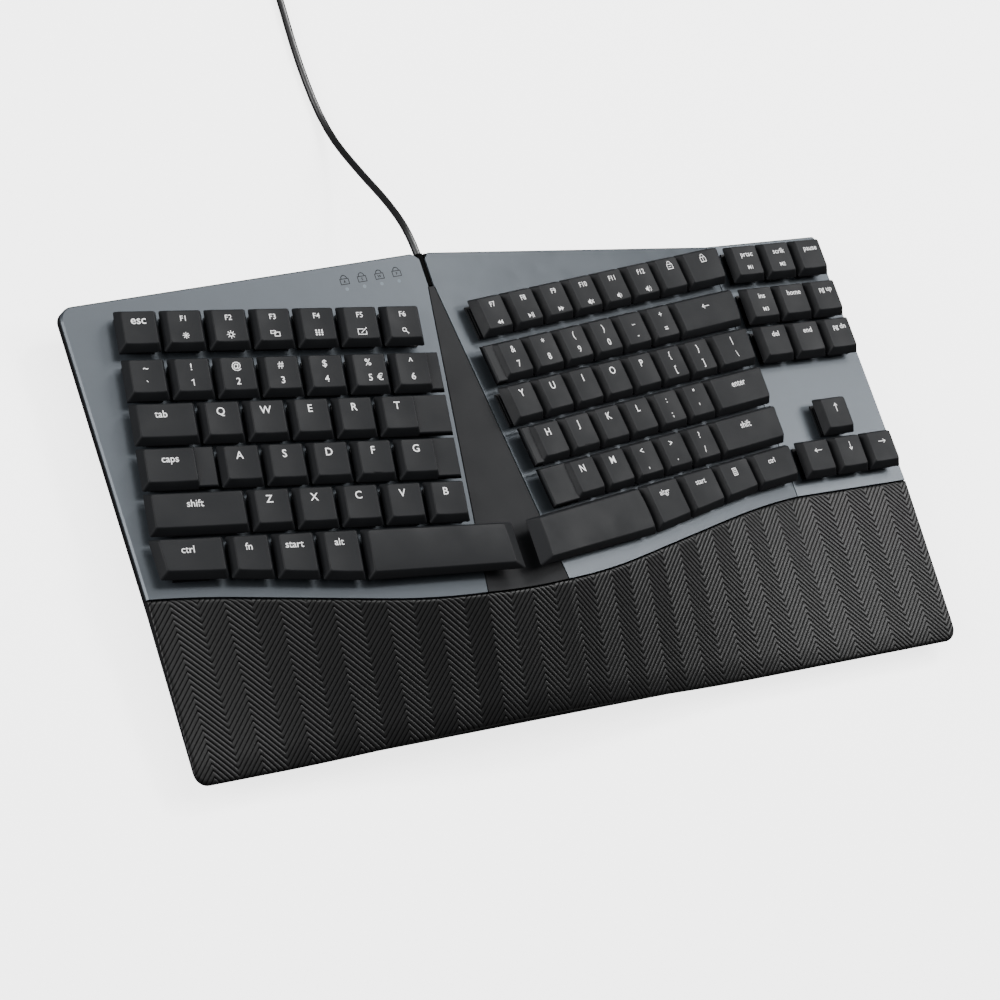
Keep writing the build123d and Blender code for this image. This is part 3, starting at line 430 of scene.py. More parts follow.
# Keys, on their deck's own axes
Cluster = namedtuple("Cluster", "x y tent turn")
Key = namedtuple("Key", "node row left right step wall_left wall_right")
LEFT_KEYS_AT = Cluster(CREST_X - 144.6, BACK - 25.2, -TENT, -TURN)
RIGHT_KEYS_AT = Cluster(CREST_X + 32.7, BACK - 41.0, TENT, TURN)
NAV_KEYS_AT = Cluster(CREASE_X + 3.9, BACK - 22.0, 0.0, 0.0)
LEFT_SIDE = (CREST_X - 156.5, CREST_X - 154.3)
RIGHT_SIDE = (CREST_X + 171.2, CREST_X + 169.3)
LEFT_SPACE_SIDE = (CREST_X - 3.6, CREST_X - 9.2)
RIGHT_SPACE_SIDE = (CREST_X + 3.6, CREST_X + 9.2)


def board_x(at, x, y, z):
    """Place across the keyboard of a point on a cluster's own axes."""
    along = x * cos(radians(at.turn)) - y * sin(radians(at.turn))
    return at.x + along * cos(radians(at.tent)) + z * sin(radians(at.tent))


def deck_matrix(at):
    """From a cluster's own axes to the keyboard's."""
    lift = Matrix.Translation((at.x, at.y, deck_z(at.x)))
    return lift @ Matrix.Rotation(radians(at.tent), 4, "Y") @ Matrix.Rotation(radians(at.turn), 4, "Z")


def row_front(row):
    """Front edge of a row's squares, on the cluster's own axes."""
    return 0.0 if row == 0 else -(row * PITCH + ROW_GAP)


def run(node, row, start, count=1, width=1.0, step=0.0, wall_left=None, wall_right=None):
    """Keys side by side in a row, in units of the pitch. A step widens the foot of the last key or,
    where it is negative, of the first."""
    keys = []
    for i in range(count):
        beside = (step > 0 and i == count - 1) or (step < 0 and i == 0)
        left = start + i * width
        keys.append(Key(node, row, left, left + width, step if beside else 0.0, wall_left, wall_right))
    return keys


LEFT_KEYS = (
    run("key_esc", 0, 0)
    + run("keys_f1_f6", 0, 1, 6)
    + run("keys_digits_left", 1, 0, 7, step=0.25)
    + run("key_tab", 2, 0, width=1.5)
    + run("keys_upper_left", 2, 1.5, 5, step=0.75)
    + run("key_caps_lock", 3, 0, width=1.35, step=0.4)
    + run("keys_home_left", 3, 1.75, 5, step=0.5)
    + run("key_shift_left", 4, 0, width=2.25)
    + run("keys_lower_left", 4, 2.25, 5)
    + run("key_ctrl_left", 5, 0, width=1.62, wall_left=LEFT_SIDE)
    + run("key_fn", 5, 1.62)
    + run("key_start_left", 5, 2.62)
    + run("key_alt", 5, 3.62)
    + run("key_space_left", 5, 4.62, width=3.38, wall_right=LEFT_SPACE_SIDE)
)
RIGHT_KEYS = (
    run("keys_f7_f12", 0, -1, 7)
    + run("key_lock_wide", 0, 6, width=1.43, wall_right=RIGHT_SIDE)
    + run("keys_digits_right", 1, -1, 6, step=-0.25)
    + run("key_backspace", 1, 5, width=2.23, wall_right=RIGHT_SIDE)
    + run("keys_upper_right", 2, -1.29, 7)
    + run("key_backslash", 2, 5.71, width=1.39, wall_right=RIGHT_SIDE)
    + run("keys_home_right", 3, -1.04, 6, step=-0.21)
    + run("key_enter", 3, 4.96, width=1.96, wall_right=RIGHT_SIDE)
    + run("keys_lower_right", 4, -0.5, 5, step=-0.75)
    + run("key_shift_right", 4, 4.5, width=2.34, wall_right=RIGHT_SIDE)
    + run("key_space_right", 5, -2.23, width=3.69, wall_left=RIGHT_SPACE_SIDE)
    + run("key_altgr", 5, 1.46, width=1.25)
    + run("key_start_right", 5, 2.71, width=1.25)
    + run("key_menu", 5, 3.96, width=1.25)
    + run("key_ctrl_right", 5, 5.21, width=1.45, wall_right=RIGHT_SIDE)
)
NAV_KEYS = (
    run("keys_nav_top", 0, 0, 3)
    + run("keys_nav_middle", 1, 0, 3)
    + run("keys_nav_bottom", 2, 0, 3)
    + run("key_up", 4, 1)
    + run("key_left", 5, 0)
    + run("key_down", 5, 1)
    + run("key_right", 5, 2)
)


# Rounds in which a corner settles on both of its lines
CORNER_ROUNDS = 8


def corner(at, x, y, z, wall, strip):
    """A cap's corner, moved to a line across the keyboard or along the seam where one is given."""
    turn, tent = radians(at.turn), radians(at.tent)
    for _ in range(CORNER_ROUNDS):
        if wall is not None:
            x = ((wall - at.x - z * sin(tent)) / cos(tent) + y * sin(turn)) / cos(turn)
        if strip is not None:
            limit = seam_y(board_x(at, x, y, z)) + strip
            y = (limit - at.y - x * sin(turn)) / cos(turn)
    return x, y


def cap_corners(at, key, level):
    """Corners of a cap from front left round to back left: level 0 at the skirt, 1 at the top."""
    z = SKIRT_Z + level * CAP_H
    side = CAP_GAP / 2 + level * SIDE_DRAFT
    front = row_front(key.row) + CAP_GAP / 2 + level * FRONT_DRAFT
    rear = row_front(key.row) + PITCH - CAP_GAP / 2 - level * BACK_DRAFT
    strip = FRONT_STRIP + level * FRONT_DRAFT if key.row == FRONT_ROW and at.turn else None
    walls = [None if w is None else w[0] + level * (w[1] - w[0]) for w in (key.wall_left, key.wall_right)]
    x_left = key.left * PITCH + side
    x_right = key.right * PITCH - side
    return [
        corner(at, x_left, front, z, walls[0], strip),
        corner(at, x_right, front, z, walls[1], strip),
        corner(at, x_right, rear, z, walls[1], None),
        corner(at, x_left, rear, z, walls[0], None),
    ]


CORNER_STEPS = 5
LONG_STEPS = 8
SIDE_STEPS = 4
EDGE_ROUND = 0.42

# Rings round a cap's rounded edge, and from there in to the middle of its top
EDGE_PARTS = (0, 0.25, 0.5, 0.75, 1)
TOP_PARTS = (0.82, 0.6, 0.35)


def rounded_over(start, corner_at, end, t):
    """Point of a curve that leaves start towards a corner and arrives at end."""
    return start * (1 - t) ** 2 + corner_at * 2 * t * (1 - t) + end * t**2


def ring(corners, radius, z, inset=0.0):
    """Points round a four-sided outline with rounded corners, evenly along each side."""
    points = [Vector(c).to_3d() for c in corners]
    centre = sum(points, Vector()) / 4
    if inset:
        moved = []
        for i, p in enumerate(points):
            before = (p - points[i - 1]).normalized()
            after = (points[(i + 1) % 4] - p).normalized()
            n1 = Vector((-before.y, before.x, 0))
            n2 = Vector((-after.y, after.x, 0))
            moved.append(p + (n1 + n2) * (inset / (1 + n1.dot(n2))))
        points = moved
    out = []
    for i, p in enumerate(points):
        to_prev = (points[i - 1] - p).normalized()
        to_next = (points[(i + 1) % 4] - p).normalized()
        a, b = p + to_prev * radius, p + to_next * radius
        for k in range(CORNER_STEPS):
            t = k / (CORNER_STEPS - 1)
            q = rounded_over(a, p, b, t)
            out.append(Vector((q.x, q.y, z)))
        following = points[(i + 1) % 4]
        c = following - to_next * radius
        steps = LONG_STEPS if i % 2 == 0 else SIDE_STEPS
        for k in range(1, steps):
            q = b.lerp(c, k / steps)
            out.append(Vector((q.x, q.y, z)))
    return out, centre


class Shape:
    """Points and faces gathered for one mesh, each face with its material's number."""

    def __init__(self):
        self.verts, self.faces, self.indices = [], [], []

    def add(self, verts, faces, index, matrix):
        """Add a form, put in its place by the matrix."""
        start = len(self.verts)
        self.verts += [matrix @ Vector(v) for v in verts]
        self.faces += [[start + i for i in face] for face in faces]
        self.indices += [index] * len(faces)


def skinned(rings, cap_last=True):
    """Faces over rings of equal count, closed over the first ring and, if asked, over the last."""
    verts = [v for one in rings for v in one]
    count = len(rings[0])
    faces = []
    for r in range(len(rings) - 1):
        for i in range(count):
            j = (i + 1) % count
            faces.append((r * count + i, r * count + j, (r + 1) * count + j, (r + 1) * count + i))
    if cap_last:
        faces.append(tuple(range((len(rings) - 1) * count, len(rings) * count)))
    faces.append(tuple(reversed(range(count))))
    return verts, faces


def top_form(at, key):
    """Height below the flat top at a point of a cap: a hollow along Y, or a low crown on a space bar."""
    top = cap_corners(at, key, 1)
    middle = sum(x for x, y in top) / 4
    half = (top[1][0] - top[0][0]) / 2
    front = (top[0][1] + top[1][1]) / 2
    rear = (top[2][1] + top[3][1]) / 2

    def drop(x, y):
        if "space" in key.node:
            return SPACE_CROWN * (2 * (y - front) / (rear - front) - 1) ** 2
        return DISH * max(0.0, 1 - ((x - middle) / half) ** 2)

    return drop


# Raised bars on the two keys where the first fingers rest, by the left edges of those keys
HOME_ROW = 3
HOMING_LEFTS = {-1: 4.75, 1: -0.04}
BAR_Y = 3.6
BAR_W = 3.6
BAR_D = 0.7
BAR_H = 0.35
NEARLY = 0.1


def box_corners(x, y, half_x, half_y):
    """Corners of a rectangle about a point."""
    return [
        (x - half_x, y - half_y),
        (x + half_x, y - half_y),
        (x + half_x, y + half_y),
        (x - half_x, y + half_y),
    ]


def cap_body(shape, at, key, matrix, drop):
    """A hollow cap: down its inside, round its lip, up its sides and over its top."""
    top = cap_corners(at, key, 1)
    side, _ = ring(cap_corners(at, key, 1 - EDGE_ROUND / CAP_H), CAP_R, TOP_Z - EDGE_ROUND)
    edge, centre = ring(top, CAP_R, TOP_Z)
    inner, _ = ring(top, CAP_R, TOP_Z, EDGE_ROUND)
    edge = [Vector((p.x, p.y, p.z - drop(p.x, p.y))) for p in edge]
    side = [Vector((p.x, p.y, p.z - drop(q.x, q.y))) for p, q in zip(side, edge)]
    inner = [Vector((p.x, p.y, p.z - drop(p.x, p.y))) for p in inner]
    rings = [
        ring(top, CAP_R / 2, TOP_Z - CAP_TOP, CAP_WALL)[0],
        ring(cap_corners(at, key, 0), CAP_R / 2, SKIRT_Z, CAP_WALL)[0],
        ring(cap_corners(at, key, 0), CAP_R, SKIRT_Z, LIP_R)[0],
        ring(cap_corners(at, key, LIP_LEVEL), CAP_R, SKIRT_Z + LIP_Z)[0],
        ring(cap_corners(at, key, 0.5), CAP_R, SKIRT_Z + CAP_H / 2)[0],
    ]
    for t in EDGE_PARTS:
        rings.append([rounded_over(a, b, c, t) for a, b, c in zip(side, edge, inner)])
    for t in TOP_PARTS:
        inward = []
        for p in inner:
            x, y = centre.x + (p.x - centre.x) * t, centre.y + (p.y - centre.y) * t
            inward.append(Vector((x, y, TOP_Z - drop(x, y))))
        rings.append(inward)
    verts, faces = skinned(rings, cap_last=False)
    count = len(inner)
    start = (len(rings) - 1) * count
    verts.append(Vector((centre.x, centre.y, TOP_Z - drop(centre.x, centre.y))))
    faces += [(start + i, start + (i + 1) % count, len(verts) - 1) for i in range(count)]
    shape.add(verts, faces, 0, matrix)


def cap_step(shape, at, key, matrix):
    """The low shelf beside a cap whose foot is wider than its top."""
    overlap = (CAP_GAP + STEP_OVERLAP) / PITCH
    kept = STEP_PART * SIDE_DRAFT
    if key.step > 0:
        beyond = key._replace(left=key.right - overlap, right=key.right + key.step)
        under_cap, kept = (0, 3), -kept
    else:
        beyond = key._replace(left=key.left + key.step, right=key.left + overlap)
        under_cap = (1, 2)
    foot = cap_corners(at, beyond, 0)
    ledge = cap_corners(at, beyond, STEP_PART)
    ledge = [(x + kept if i in under_cap else x, y) for i, (x, y) in enumerate(ledge)]
    z = SKIRT_Z + STEP_PART * CAP_H
    rings = [
        ring(foot, STEP_R, SKIRT_Z)[0],
        ring(ledge, STEP_R, z - STEP_R, -STEP_FLARE)[0],
        ring(ledge, STEP_R, z, STEP_R)[0],
    ]
    shape.add(*skinned(rings), 0, matrix)


def homing_bar(shape, key, matrix, drop):
    """A short bar across the front of a cap's top, narrower above than below."""
    x, y = (key.left + key.right) / 2 * PITCH, row_front(key.row) + BAR_Y
    z = TOP_Z - drop(x, y)
    foot = box_corners(x, y, BAR_W / 2, BAR_D / 2)
    head = box_corners(x, y, BAR_W / 2 - BAR_H / 2, BAR_D / 2 - BAR_H / 3)
    low, _ = ring(foot, BAR_D / 3, z - DISH / 2)
    high, _ = ring(head, BAR_D / 5, z + BAR_H)
    shape.add(*skinned([low, high]), 0, matrix)


def key_shape(shape, at, key, matrix):
    """A cap with its step and homing bar, if it has them, and the post and slider below it."""
    drop = top_form(at, key)
    cap_body(shape, at, key, matrix, drop)
    if key.step:
        cap_step(shape, at, key, matrix)
    homing_left = HOMING_LEFTS.get(round(at.turn / TURN))
    if key.row == HOME_ROW and homing_left is not None and abs(key.left - homing_left) < NEARLY:
        homing_bar(shape, key, matrix, drop)
    x = sum(x for x, y in cap_corners(at, key, 1)) / 4
    y = row_front(key.row) + PITCH / 2
    turns = [2 * pi * i / POST_SIDES for i in range(POST_SIDES)]
    circle = [(x + POST_R * cos(turn), y + POST_R * sin(turn)) for turn in turns]
    post = [[(px, py, z) for px, py in circle] for z in (POST_LOW, TOP_Z - CAP_TOP)]
    shape.add(*skinned(post), 0, matrix)
    square = box_corners(x, y, SLIDER / 2, SLIDER / 2)
    slider = [[(px, py, z) for px, py in square] for z in (SLIDER_LOW, SLIDER_HIGH)]
    shape.add(*skinned(slider), 1, matrix)


# Legends: text, or lines drawn in millimetres about their middle
def arc(cx, cy, r, start, end, steps=12):
    """Points along an arc, its ends in degrees."""
    turns = [radians(start + (end - start) * i / steps) for i in range(steps + 1)]
    return [(cx + r * cos(turn), cy + r * sin(turn)) for turn in turns]


def rays(count, near, far):
    """Short lines pointing away from the middle."""
    turns = [2 * pi * i / count for i in range(count)]
    return [[(r * cos(turn), r * sin(turn)) for r in (near, far)] for turn in turns]


def box_line(x0, y0, x1, y1):
    """The outline of a rectangle, back to its first corner."""
    return [(x0, y0), (x1, y0), (x1, y1), (x0, y1), (x0, y0)]


SPEAKER = [(-1.2, -0.45), (-0.6, -0.45), (0.1, -1.1), (0.1, 1.1), (-0.6, 0.45), (-1.2, 0.45)]
PADLOCK = [box_line(-1.7, -1.5, 1.7, 0.7), [(-1.1, 0.7), *arc(0, 1.0, 1.1, 180, 0), (1.1, 0.7)]]

# Each icon: lines, filled shapes
ICONS = {
    "one": ([[(-0.7, 0.8), (0.15, 1.25), (0.15, -1.25)]], []),
    "dim": (rays(8, 0.75, 1.25), [arc(0, 0, 0.45, 0, 360)]),
    "bright": ([arc(0, 0, 0.8, 0, 360)] + rays(8, 1.15, 1.6), []),
    "windows": ([box_line(-1.9, 0, 0.1, 1.2), box_line(-0.3, -1.2, 1.9, 0.5)], []),
    "grid": ([], [arc(x * 1.25, y * 0.95, 0.42, 0, 360, 8) for x in (-1, 0, 1) for y in (-1, 0, 1)]),
    "edit": (
        [[(0.4, 1.1), (-1.9, 1.1), (-1.9, -1.3), (1.7, -1.3), (1.7, 0.1)], [(-0.4, -0.5), (1.9, 1.6)]],
        [],
    ),
    "find": ([arc(-0.3, 0.4, 0.8, 0, 360), [(0.3, -0.2), (1.3, -1.2)]], []),
    "rewind": ([], [[(0, 0), (1.2, 0.75), (1.2, -0.75)], [(-1.2, 0), (0, 0.75), (0, -0.75)]]),
    "play": (
        [[(0.6, -0.75), (0.6, 0.75)], [(1.2, -0.75), (1.2, 0.75)]],
        [[(0.2, 0), (-1.1, 0.75), (-1.1, -0.75)]],
    ),
    "forward": ([], [[(0, 0), (-1.2, 0.75), (-1.2, -0.75)], [(1.2, 0), (0, 0.75), (0, -0.75)]]),
    "mute": ([[(0.5, -0.5), (1.3, 0.5)], [(0.5, 0.5), (1.3, -0.5)]], [SPEAKER]),
    "quiet": ([arc(0, 0, 0.8, -40, 40)], [SPEAKER]),
    "loud": ([arc(0, 0, 0.7, -40, 40), arc(0, 0, 1.3, -40, 40)], [SPEAKER]),
    "padlock_outline": (PADLOCK, []),
    "padlock": (PADLOCK + [[(-0.6, -0.4), (0.6, -0.4)]], []),
    "padlock_key": (PADLOCK + [[(0, -0.9), (0, 0.1)]], []),
    "back": ([[(-2.2, 0), (2.2, 0)], [(-1.0, 0.9), (-2.2, 0), (-1.0, -0.9)]], []),
    "left": ([[(-1.9, 0), (1.9, 0)], [(-0.9, 0.8), (-1.9, 0), (-0.9, -0.8)]], []),
    "right": ([[(-1.9, 0), (1.9, 0)], [(0.9, 0.8), (1.9, 0), (0.9, -0.8)]], []),
    "up": ([[(0, -1.9), (0, 1.9)], [(-0.8, 0.9), (0, 1.9), (0.8, 0.9)]], []),
    "down": ([[(0, -1.9), (0, 1.9)], [(-0.8, -0.9), (0, -1.9), (0.8, -0.9)]], []),
    "menu": ([box_line(-1.2, -1.6, 1.2, 1.6)] + [[(-0.6, y), (0.6, y)] for y in (0.8, 0, -0.8)], []),
}
LINE = 0.33


def drawn(icon, width):
    """Points and faces of an icon."""
    lines, fills = ICONS[icon]
    verts, faces = [], []
    for points in lines:
        for (x0, y0), (x1, y1) in zip(points, points[1:]):
            length = hypot(x1 - x0, y1 - y0)
            ux, uy = (x1 - x0) / length * width / 2, (y1 - y0) / length * width / 2
            start = len(verts)
            verts += [
                (x0 - ux + uy, y0 - uy - ux),
                (x1 + ux + uy, y1 + uy - ux),
                (x1 + ux - uy, y1 + uy + ux),
                (x0 - ux - uy, y0 - uy + ux),
            ]
            faces.append((start, start + 1, start + 2, start + 3))
    for points in fills:
        if points[0] == points[-1]:
            points = points[:-1]
        turning = sum(a[0] * b[1] - b[0] * a[1] for a, b in zip(points, points[1:] + points[:1]))
        if turning < 0:
            points = points[::-1]
        start = len(verts)
        verts += points
        faces.append(tuple(range(start, start + len(points))))
    return verts, faces


# Text sizes, and heights above a key's front edge
BIG = 4.6
MID = 4.15
WORD = 4.2
SMALL = 3.5
LABEL = 3.3
TINY = 2.7
HIGH = 13.1
LOW = 6.75
PAIR_HIGH = 13.5
WORD_HIGH = 12.7
LABEL_HIGH = 13.6
ICON_HIGH = 12.4
PADLOCK_HIGH = 13.35
EXTRA_LOW = 6.5

# How far the marks of single keys stand right of the middle, row by row from the back
LEFT_SHIFT = (-0.1, -0.35, -0.7, -0.75, -1.0, -1.0)
RIGHT_SHIFT = (0.7, 0.5, 0.0, -0.3, -0.8, -0.8)
NAV_SHIFT = (0.65,) * 6


def letters(text):
    """One large letter on each key."""
    return [[(one, None, HIGH, BIG)] for one in text]


def pairs(tops, bottoms, at=None):
    """Two marks on each key, one above the other."""
    return [[(a, at, PAIR_HIGH, MID), (b, at, LOW, MID)] for a, b in zip(tops, bottoms)]


def word(text, at=None, size=WORD, dy=WORD_HIGH):
    """A word on one key."""
    return [[(text, at, dy, size)]]


def function_keys(first, icons, icon_y, scale):
    """Numbered labels with icons below them."""
    return [
        [(f"F{first + i}", None, LABEL_HIGH, LABEL), ("icon:" + icon, None, icon_y, scale)]
        for i, icon in enumerate(icons)
    ]


def small_word(text, extra=None):
    """A small word on a key, and a smaller mark below it."""
    marks = word(text, size=SMALL, dy=HIGH)
    if extra:
        marks[0].append((extra, None, EXTRA_LOW, TINY))
    return marks


# Marks of each key: text, place from the key's left edge or None for its middle, height, size
LEGENDS = {
    "key_esc": word("esc", size=5.1, dy=13.3),
    "keys_f1_f6": function_keys(1, ["dim", "bright", "windows", "grid", "edit", "find"], 6.1, 1.0),
    "keys_digits_left": pairs("~!@#$%^", "`123456"),
    "key_tab": word("tab", 12.4),
    "keys_upper_left": letters("QWERT"),
    "key_caps_lock": word("caps", 13.0),
    "keys_home_left": letters("ASDFG"),
    "key_shift_left": word("shift", 20.2),
    "keys_lower_left": letters("ZXCVB"),
    "key_ctrl_left": word("ctrl", 14.1),
    "key_fn": word("fn"),
    "key_start_left": word("start"),
    "key_alt": word("alt"),
    "keys_f7_f12": function_keys(7, ["rewind", "play", "forward", "mute", "quiet", "loud"], 5.1, 1.3)
    + [[("icon:padlock", 10.85, PADLOCK_HIGH, 1)]],
    "key_lock_wide": [[("icon:padlock_key", 14.84, PADLOCK_HIGH, 1)]],
    "keys_digits_right": pairs("&*()_+", "7890-="),
    "key_backspace": [[("icon:back", 21.1, ICON_HIGH, 1)]],
    "keys_upper_right": letters("YUIOP") + pairs("{}", "[]"),
    "key_backslash": pairs("|", "\\", 13.9),
    "keys_home_right": letters("HJKL") + pairs(":\"", ";'"),
    "key_enter": word("enter", 19.8),
    "keys_lower_right": letters("NM") + pairs("<>?", ",./"),
    "key_shift_right": word("shift", 21.0),
    "key_altgr": word("altgr", 11.5, SMALL),
    "key_start_right": word("start", 11.6, SMALL),
    "key_menu": [[("icon:menu", 11.2, ICON_HIGH, 1)]],
    "key_ctrl_right": word("ctrl", 12.9, SMALL),
    "keys_nav_top": small_word("prtsc", "M1") + small_word("scrlk", "M2") + small_word("pause"),
    "keys_nav_middle": small_word("ins", "M3") + small_word("home") + small_word("pg up"),
    "keys_nav_bottom": small_word("del") + small_word("end") + small_word("pg dn"),
    "key_up": [[("icon:up", None, ICON_HIGH, 1)]],
    "key_left": [[("icon:left", None, ICON_HIGH, 1)]],
    "key_down": [[("icon:down", None, ICON_HIGH, 1)]],
    "key_right": [[("icon:right", None, ICON_HIGH, 1)]],
}
LEGENDS["keys_digits_left"][1][1] = ("icon:one", None, LOW, 1)
LEGENDS["keys_digits_left"][5].append(("€", 13.4, LOW, MID))

# How far strokes are widened at the largest size, and the marks in the status icons
FATTER = 0.04
LENS_MARKS = ("A", "S", "W", "F")
STATUS_TEXT = 1.7
TEXT_RESOLUTION = 3
STATUS_RESOLUTION = 2


def text_object(text, size, offset, resolution):
    """Words about the middle of their line, with their strokes widened by the offset."""
    words = bpy.data.curves.new("words", "FONT")
    words.body = text
    words.size = size
    words.align_x = "CENTER"
    words.offset = offset
    words.resolution_u = resolution
    holder = bpy.data.objects.new("words", words)
    scene.collection.objects.link(holder)
    return holder


# All the text is made at once, because each look at the scene takes time
samples = {}
for text, _, _, size in [mark for keys in LEGENDS.values() for marks in keys for mark in marks]:
    if not text.startswith("icon:") and (text, size) not in samples:
        samples[(text, size)] = text_object(text, size, FATTER * (size / BIG) ** 2, TEXT_RESOLUTION)
for mark in LENS_MARKS:
    samples[(mark, STATUS_TEXT)] = text_object(mark, STATUS_TEXT, FATTER, STATUS_RESOLUTION)
graph = bpy.context.evaluated_depsgraph_get()
outlines = {}
for wanted, holder in samples.items():
    mesh = bpy.data.meshes.new_from_object(holder.evaluated_get(graph))
    outlines[wanted] = ([(v.co.x, v.co.y) for v in mesh.vertices], [tuple(p.vertices) for p in mesh.polygons])
    bpy.data.meshes.remove(mesh)
for holder in samples.values():
    words = holder.data
    bpy.data.objects.remove(holder)
    bpy.data.curves.remove(words)

# Height of a capital letter, in parts of the text's size
CAPITAL = 0.682
LEGEND_LIFT = 0.02


def add_legends(shape, at, key, marks, matrix):
    """Lay a key's marks on the hollow of its top."""
    drop = top_form(at, key)
    shift = {-1: LEFT_SHIFT, 0: NAV_SHIFT, 1: RIGHT_SHIFT}[round(at.turn / TURN)][key.row]
    middle = (key.left + key.right) / 2 * PITCH + shift
    for text, from_left, dy, size in marks:
        across = middle if from_left is None else key.left * PITCH + from_left
        if text.startswith("icon:"):
            verts, faces = drawn(text[5:], LINE / size)
            verts = [(x * size, y * size) for x, y in verts]
            base = 0.0
        else:
            verts, faces = outlines[(text, size)]
            base = -CAPITAL * size / 2
        placed = []
        for x, y in verts:
            px = across + x
            py = row_front(key.row) + dy + base + y
            placed.append(Vector((px, py, TOP_Z - drop(px, py) + LEGEND_LIFT)))
        shape.add(placed, faces, 2, matrix)


def make_keys(at, keys):
    """One piece for each node of a cluster, with all of its keys."""
    matrix = deck_matrix(at)
    for node in dict.fromkeys(key.node for key in keys):
        shape = Shape()
        own = [key for key in keys if key.node == node]
        for i, key in enumerate(own):
            key_shape(shape, at, key, matrix)
            if node in LEGENDS:
                add_legends(shape, at, key, LEGENDS[node][i], matrix)
        made = piece(
            node + "_look",
            shape.verts,
            shape.faces,
            [key_plastic, switch_plastic, legend_paint],
            node + "_body",
            shape.indices,
        )
        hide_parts(node)
        sharp = made.modifiers.new("normals", "WEIGHTED_NORMAL")
        sharp.keep_sharp = True


make_keys(LEFT_KEYS_AT, LEFT_KEYS)
make_keys(RIGHT_KEYS_AT, RIGHT_KEYS)
make_keys(NAV_KEYS_AT, NAV_KEYS)


# Palm rest pad
def front_z(x):
    """Height of the palm rest's front edge, with its swell."""
    part = (x - LEFT) / WIDTH
    base = FRONT_LEFT_Z + (FRONT_RIGHT_Z - FRONT_LEFT_Z) * part
    off = abs(x - WAVE_X) / WAVE_HALF
    return base + (WAVE * (1 + cos(pi * off)) / 2 if off < 1 else 0)


def seam_z(x):
    """Height of the palm rest where it meets the decks."""
    wedge_half = WEDGE_TIP + (WEDGE_BACK - SEAM_Y) * tan(radians(TURN))
    return min(deck_z(x), deck_z(CREST_X + wedge_half))


def pad_z(x, y):
    """The rest's top: a straight fall to its shoulder, then a roll down to its front edge."""
    back_y, back_z = seam_y(x), seam_z(x)
    edge_z = front_z(x)
    slope = (back_z - edge_z) / (back_y - FRONT)
    shoulder_z = edge_z + ROLL * (slope + ROLL_BEND)
    fall = (back_z - shoulder_z) / (back_y - FRONT - ROLL)
    from_shoulder = y - (FRONT + ROLL)
    if from_shoulder >= 0:
        return shoulder_z + fall * from_shoulder
    bend = (edge_z - shoulder_z + fall * ROLL) / ROLL**2
    return shoulder_z + fall * from_shoulder + bend * from_shoulder**2


# How far the pad's top rounds down at its edge, and how far in that starts
EDGE_DROP = 0.55
EDGE_REACH = 1.2


def near_edge(x):
    """Front edge of the plan at a place across it, round the corners."""
    inside = abs(x) - (WIDTH / 2 - CORNER_R)
    if inside <= 0:
        return FRONT
    return FRONT + CORNER_R - sqrt(max(0.0, CORNER_R**2 - inside**2))


def groove(steps):
    """How deep the pattern is at a whole number of steps from a groove's middle."""
    return RIB_DEPTH if steps % RIB_STEPS == 0 else 0.0


STEP_X = COLUMN / COLUMN_STEPS
STEP_Y = RIB_Y / RIB_STEPS

# Least part of a step between the outline and the first line of the grid inside it
CLEAR = 0.3
first = ceil((LEFT - RIB_TURN_X) / STEP_X + CLEAR)
last = floor((RIGHT - RIB_TURN_X) / STEP_X - CLEAR)
columns = [LEFT] + [RIB_TURN_X + i * STEP_X for i in range(first, last + 1)] + [RIGHT]
folds = [abs((i + COLUMN_STEPS) % (2 * COLUMN_STEPS) - COLUMN_STEPS) for i in range(first - 1, last + 2)]
grid = []
places = []
for x, fold in zip(columns, folds):
    low, high = near_edge(x), seam_y(x) - SEAM / 2
    j_low, j_high = ceil(low / STEP_Y + CLEAR), floor(high / STEP_Y - CLEAR)
    places.append((len(grid), j_low, j_high))
    for j in range(j_low - 1, j_high + 2):
        y = min(max(j * STEP_Y, low), high) if j_low <= j <= j_high else (low if j < j_low else high)
        to_edge = min(x - LEFT, RIGHT - x, y - low, high - y)
        rounded = EDGE_DROP * max(0.0, 1 - to_edge / EDGE_REACH) ** 2
        depth = groove(j + fold) * min(1.0, to_edge / EDGE_REACH)
        grid.append(Vector((x, y, pad_z(x, y) - rounded - depth)))


def grid_index(column, j):
    """Number of the grid's point in that column and row, or of the column's end beyond it."""
    start, j_low, j_high = places[column]
    return start + min(max(j, j_low - 1), j_high + 1) - (j_low - 1)


faces = []
for c in range(len(columns) - 1):
    rising = folds[c + 1] > folds[c]
    bottom = min(places[c][1], places[c + 1][1]) - 1
    top = max(places[c][2], places[c + 1][2]) + 1
    for j in range(bottom, top):
        a, b = grid_index(c, j), grid_index(c + 1, j)
        d, e = grid_index(c, j + 1), grid_index(c + 1, j + 1)
        halves = [(a, b, d), (b, e, d)] if rising else [(a, b, e), (a, e, d)]
        faces += [half for half in halves if len(set(half)) == 3]
top_faces = len(faces)
front_rim = [start for start, _, _ in places]
back_rim = [start + j_high - j_low + 2 for start, j_low, j_high in places]
right_rim = list(range(front_rim[-1] + 1, back_rim[-1]))
left_rim = list(range(front_rim[0] + 1, back_rim[0]))
rim = front_rim + right_rim + back_rim[::-1] + left_rim[::-1]
below = {}
for i in rim:
    p = grid[i]
    part = (p.y - FRONT) / (seam_y(p.x) - FRONT)
    below[i] = len(grid)
    grid.append(Vector((p.x, p.y, pad_z(p.x, p.y) - (PAD_LIP + (PAD_T - PAD_LIP) * part))))
for i, j in zip(rim, rim[1:] + rim[:1]):
    faces.append((j, i, below[i], below[j]))
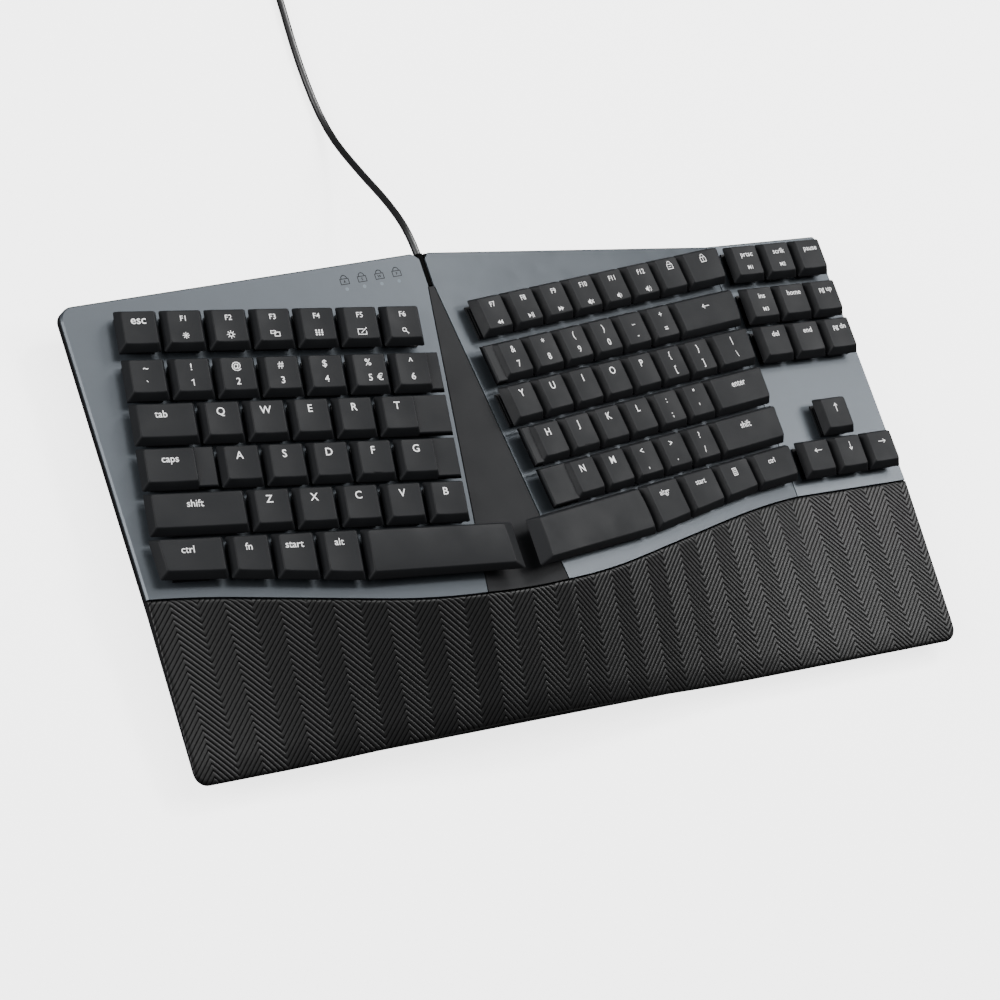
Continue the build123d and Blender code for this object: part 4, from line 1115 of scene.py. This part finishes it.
for c in range(len(columns) - 1):
    outer_left = left_rim if c == 0 else []
    outer_right = right_rim[::-1] if c == len(columns) - 2 else []
    around = [front_rim[c], *outer_left, back_rim[c], back_rim[c + 1], *outer_right, front_rim[c + 1]]
    faces.append([below[i] for i in around])
indices = [0] * top_faces + [1] * (len(faces) - top_faces)
pad_piece = piece("palm_rest_pad_look", grid, faces, [pad_leather, pad_edge], "case", indices)
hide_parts("palm_rest_pad")


# Status icons on the left deck, behind their lenses
marks = Shape()
LENS_Y = BACK - 11.3
LENS_X = CREST_X - 37.6
LENS_SPACING = 8.0
MARK_BEHIND = 3.9
MARK_LIFT = 0.03
LETTER_DROP = 1.05
STATUS_LINE = 0.3
STATUS_SCALE = 1.12
for i, mark in enumerate(LENS_MARKS):
    x = LENS_X + i * LENS_SPACING
    y = LENS_Y + MARK_BEHIND
    tilt = Matrix.Translation((x, y, deck_z(x) + MARK_LIFT)) @ Matrix.Rotation(radians(-TENT), 4, "Y")
    verts, faces = drawn("padlock_outline", STATUS_LINE)
    marks.add([(vx * STATUS_SCALE, vy * STATUS_SCALE, 0) for vx, vy in verts], faces, 0, tilt)
    verts, faces = outlines[(mark, STATUS_TEXT)]
    marks.add([(vx, vy - LETTER_DROP, 0) for vx, vy in verts], faces, 0, tilt)
piece("status_icons", marks.verts, marks.faces, [icon_paint], "case", smooth=False)


# Floor and light
FLOOR_HALF = 12.0
FLOOR_GLOW = 3.0
WORLD_LIGHT = 0.18
floor_mesh = bpy.data.meshes.new("floor")
floor_corners = [(x, y, 0) for x, y in box_corners(0, 0, FLOOR_HALF, FLOOR_HALF)]
floor_mesh.from_pydata(floor_corners, [], [(0, 1, 2, 3)])
ground = bpy.data.objects.new("floor", floor_mesh)
scene.collection.objects.link(ground)
floor_white = grained("floor_white", (0.92, 0.92, 0.92), 0.7, grain=4, depth=0.01, vary=0.01)
floor_shader = floor_white.node_tree.nodes["Principled BSDF"]
floor_shader.inputs["Emission Color"].default_value = (1, 1, 1, 1)
floor_shader.inputs["Emission Strength"].default_value = FLOOR_GLOW
floor_mesh.materials.append(floor_white)
ground.visible_diffuse = False
ground.visible_glossy = False


def area_light(name, at, towards, size, power):
    """A soft rectangular lamp, in metres and watts."""
    data = bpy.data.lights.new(name, "AREA")
    data.shape = "RECTANGLE"
    data.size, data.size_y = size
    data.energy = power
    made = bpy.data.objects.new(name, data)
    made.location = at
    direction = Vector(towards) - Vector(at)
    made.rotation_euler = direction.to_track_quat("-Z", "Y").to_euler()
    scene.collection.objects.link(made)


area_light("key_light", (0.85, 0.8, 1.15), (0, 0, 0), (0.4, 0.4), 16)
area_light("pad_light", (1.15, 0.1, 1.1), (0.1, 0, 0), (0.5, 0.5), 13)
area_light("top_light", (0.1, 0.7, 1.4), (0, 0, 0), (1.4, 0.8), 12)
area_light("side_light", (-1.4, 0.3, 0.7), (0, 0, 0), (0.8, 0.8), 24)

world = bpy.data.worlds.new("world")
scene.world = world
world.use_nodes = True
background = world.node_tree.nodes["Background"]
background.inputs["Color"].default_value = (1, 1, 1, 1)
background.inputs["Strength"].default_value = WORLD_LIGHT
